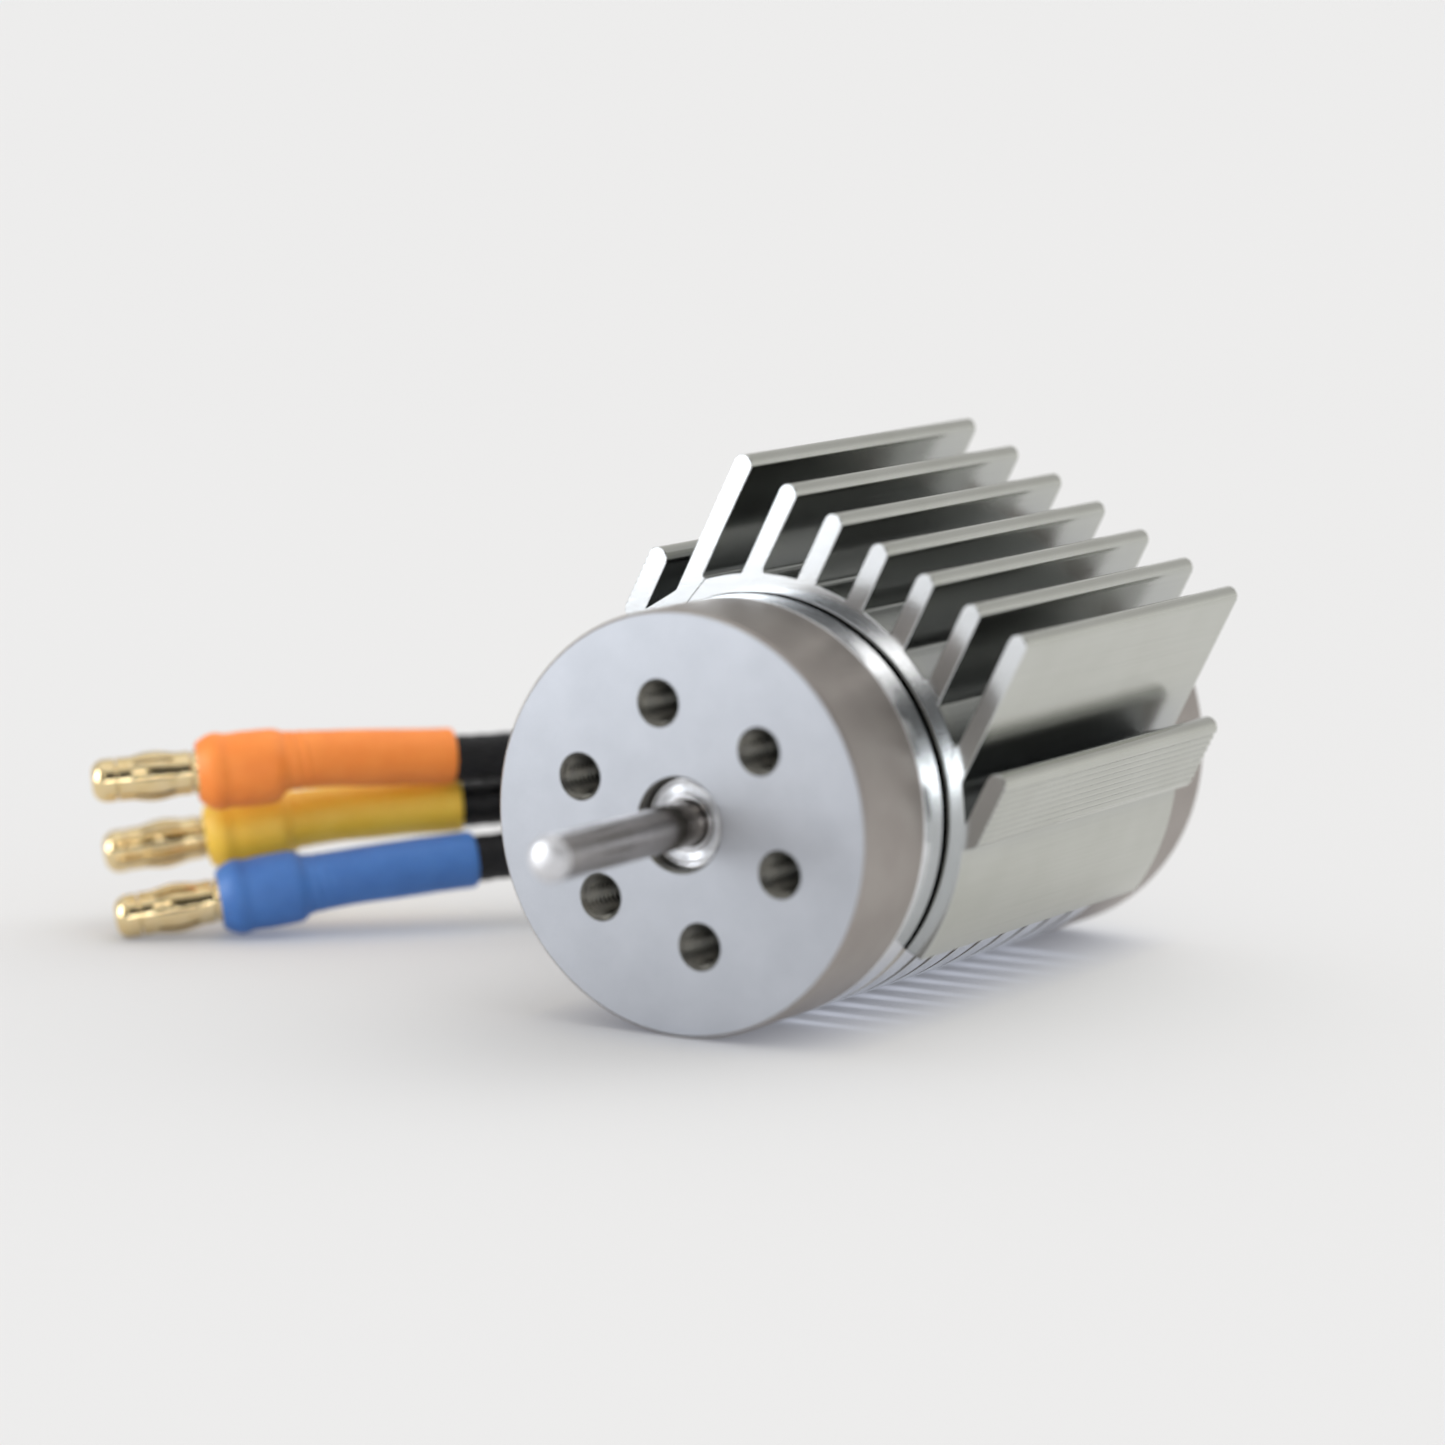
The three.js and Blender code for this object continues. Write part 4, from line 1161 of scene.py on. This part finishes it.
def floor_material():
    """Pale board. Painted cool shade darkens it near close contact, and painted soft streaks of light stand
    for the reflections that the polished lands throw on it.
    """
    look = Look("pale_floor")
    cloud = look.noise(0.004, 2)
    paler = tuple(value + 0.006 for value in FLOOR_TONE)
    plain = look.blend(look.spread(cloud, 0, 1), (*FLOOR_TONE, 1), (*paler, 1))
    # Painted shade: ambient occlusion blends the floor to a cooler, darker tone and glow near contact.
    outside_painted_shade = look.spread(look.shelter(CONTACT_REACH, 6), 0, 1, 0.2, 0.95)
    # Painted light: soft streaks, one per land, on the floor beside the can's right side.
    across, behind = look.axis(0), look.axis(1)
    turn = look.maths("MULTIPLY_ADD", behind, 2 * math.pi / RIB_PITCH,
                      -2 * math.pi * (CAN_START + RIB_WIDTH / 2) / RIB_PITCH)
    wave = look.spread(look.maths("COSINE", turn), 0, 1, -0.2, 1)
    beside = look.maths("MULTIPLY", look.spread(across, 0, 1, 1, 4), look.spread(across, 1, 0, 5, 11))
    along = look.maths("MULTIPLY", look.spread(behind, 0, 1, CAN_START, CAN_START + 1.2),
                       look.spread(behind, 1, 0, CAN_END - 1.2, CAN_END))
    streak = look.maths("MULTIPLY", wave, look.maths("MULTIPLY", beside, along))
    glow = look.blend(outside_painted_shade, PAINTED_CONTACT_SHADE_GLOW, (*FLOOR_GLOW, 1))
    return look.finish(look.blend(outside_painted_shade, PAINTED_CONTACT_SHADE_TONE, plain), 0.9, Specular_IOR_Level=0.0,
                       Emission_Color=look.blend(streak, glow, PAINTED_STREAK_GLOW), Emission_Strength=1.0)


def add_floor(height):
    half = 9000
    mesh = bpy.data.meshes.new("floor")
    corners = [(-half, -half), (half, -half), (half, half), (-half, half)]
    mesh.from_pydata([(x * MM, y * MM, height * MM) for x, y in corners], [], [(0, 1, 2, 3)])
    mesh.materials.append(floor_material())
    link("floor", mesh)


# The camera stands to the right of the shaft, a little above it, with a long lens.
CAMERA_PLACE = (186.1, FACE_Y - 299.0, 58.8)
CAMERA_DOWN = 8.415
CAMERA_LEFT = 31.44
CAMERA_LENS = 137.85
CAMERA_SENSOR = 36
CAMERA_STOP = 14.5
FOCUS_PLACE = (8, FACE_Y + 24, 10)


def add_camera():
    data = bpy.data.cameras.new("camera")
    data.sensor_width = CAMERA_SENSOR
    data.lens = CAMERA_LENS
    camera = link("camera", data)
    camera.location = Vector(CAMERA_PLACE) * MM
    camera.rotation_euler = (math.radians(90 - CAMERA_DOWN), 0, math.radians(CAMERA_LEFT))
    bpy.context.scene.camera = camera
    focus = link("focus", None)
    focus.location = Vector(FOCUS_PLACE) * MM
    data.dof.use_dof = True
    data.dof.focus_object = focus
    data.dof.aperture_fstop = CAMERA_STOP


# The soft box stands on the floor to the left of the camera. Angles are left of the shaft's direction.
PANEL_RIGHT_EDGE = 30.8
PANEL_LEFT_EDGE = 62
PANEL_TOP = 40
PANEL_DISTANCE = 300
PANEL_RADIANCE = 2.4
COOL_WHITE = (0.95, 0.98, 1.0)

# The other cards: place, target, width and height, radiance and colour.
HIGH_CARD = ((60, -420, 250), (0, FACE_Y, 0), (110, 110), 2.2, (1.0, 0.97, 0.93))
SIDE_CARD = ((-270, FACE_Y - 230, 120), (0, FACE_Y, 10), (130, 190), 4.0, COOL_WHITE)
LOW_CARD = ((157, FACE_Y - 256, 22), (0, FACE_Y, 0), (60, 42), 5.0, (0.93, 0.96, 1.0))


def front_card():
    """The soft box as a card, worked out from the angles that it spans."""
    middle = math.radians((PANEL_RIGHT_EDGE + PANEL_LEFT_EDGE) / 2)
    half_angle = math.radians((PANEL_LEFT_EDGE - PANEL_RIGHT_EDGE) / 2)
    width = 2 * PANEL_DISTANCE * math.tan(half_angle)
    height = PANEL_DISTANCE * math.tan(math.radians(PANEL_TOP))
    target = Vector((0, FACE_Y, -BODY_RADIUS + height / 2))
    place = target + Vector((-math.sin(middle), -math.cos(middle), 0)) * PANEL_DISTANCE
    return place, target, (width, height), PANEL_RADIANCE, COOL_WHITE


def add_studio():
    studio_world()
    soft_sun("window", WINDOW_PLACE, SUN_STRENGTH, WINDOW_SPREAD)
    light_leads()
    reflection_panel("high_panel", *HIGH_CARD)
    reflection_panel("front_panel", *front_card())
    reflection_panel("side_panel", *SIDE_CARD)
    reflection_panel("low_panel", *LOW_CARD)
    add_floor(-BODY_RADIUS)
    view = bpy.context.scene.view_settings
    view.view_transform = "Standard"
    view.look = "None"


# ---- Build ----
face = anodised_face()
band = anodised_band()
bright_steel = ground_steel("bearing_rings", 0.16, 0.26, (222, 223, 227))
pressed_steel = ground_steel("bearing_shields", 0.2, 0.3, (240, 241, 244))
add_front_cap(face, band, shaded_bore())
# The first groove's pale copy is painted light, which lifts the shade that the heat sink's ring casts into
# it.
add_can(polished_land(), groove_anodising("dark_groove", 0.3, (138, 134, 130)),
        groove_anodising("first_groove_painted_light", 0.0, (214, 208, 200)))
add_rear_cap(face, band)
add_grommet(patterned("moulded_rubber", (36, 36, 38), (26, 26, 28), 0.55, 0.75, 12, 0.006, detail=3,
                      metallic=0.0))
add_heat_sink(extruded_sink(), sawn_sink())
# The tip's copy of the steel is rougher, as turned, and lighter than the shaft's, which paints in part of
# its highlight.
add_shaft(shaft_steel(), ground_steel("turned_tip_painted_highlight", 0.42, 0.5, (228, 228, 231)))
add_bearing("front", bright_steel, pressed_steel)
add_bearing("rear", bright_steel, pressed_steel)
gold = gold_plate()
sleeve = woven_sleeve()
for lead_name, lead in LEADS.items():
    centre_line = lead_line(lead)
    add_plug_pin(lead_name, centre_line, gold)
    add_plug_spring(lead_name, centre_line, gold)
    add_heat_shrink(lead_name, centre_line, heat_shrink(lead_name, *lead["colours"]), lead["sag"])
    add_sleeve(lead_name, centre_line, sleeve)
dress_inner_nodes()
add_studio()
add_camera()
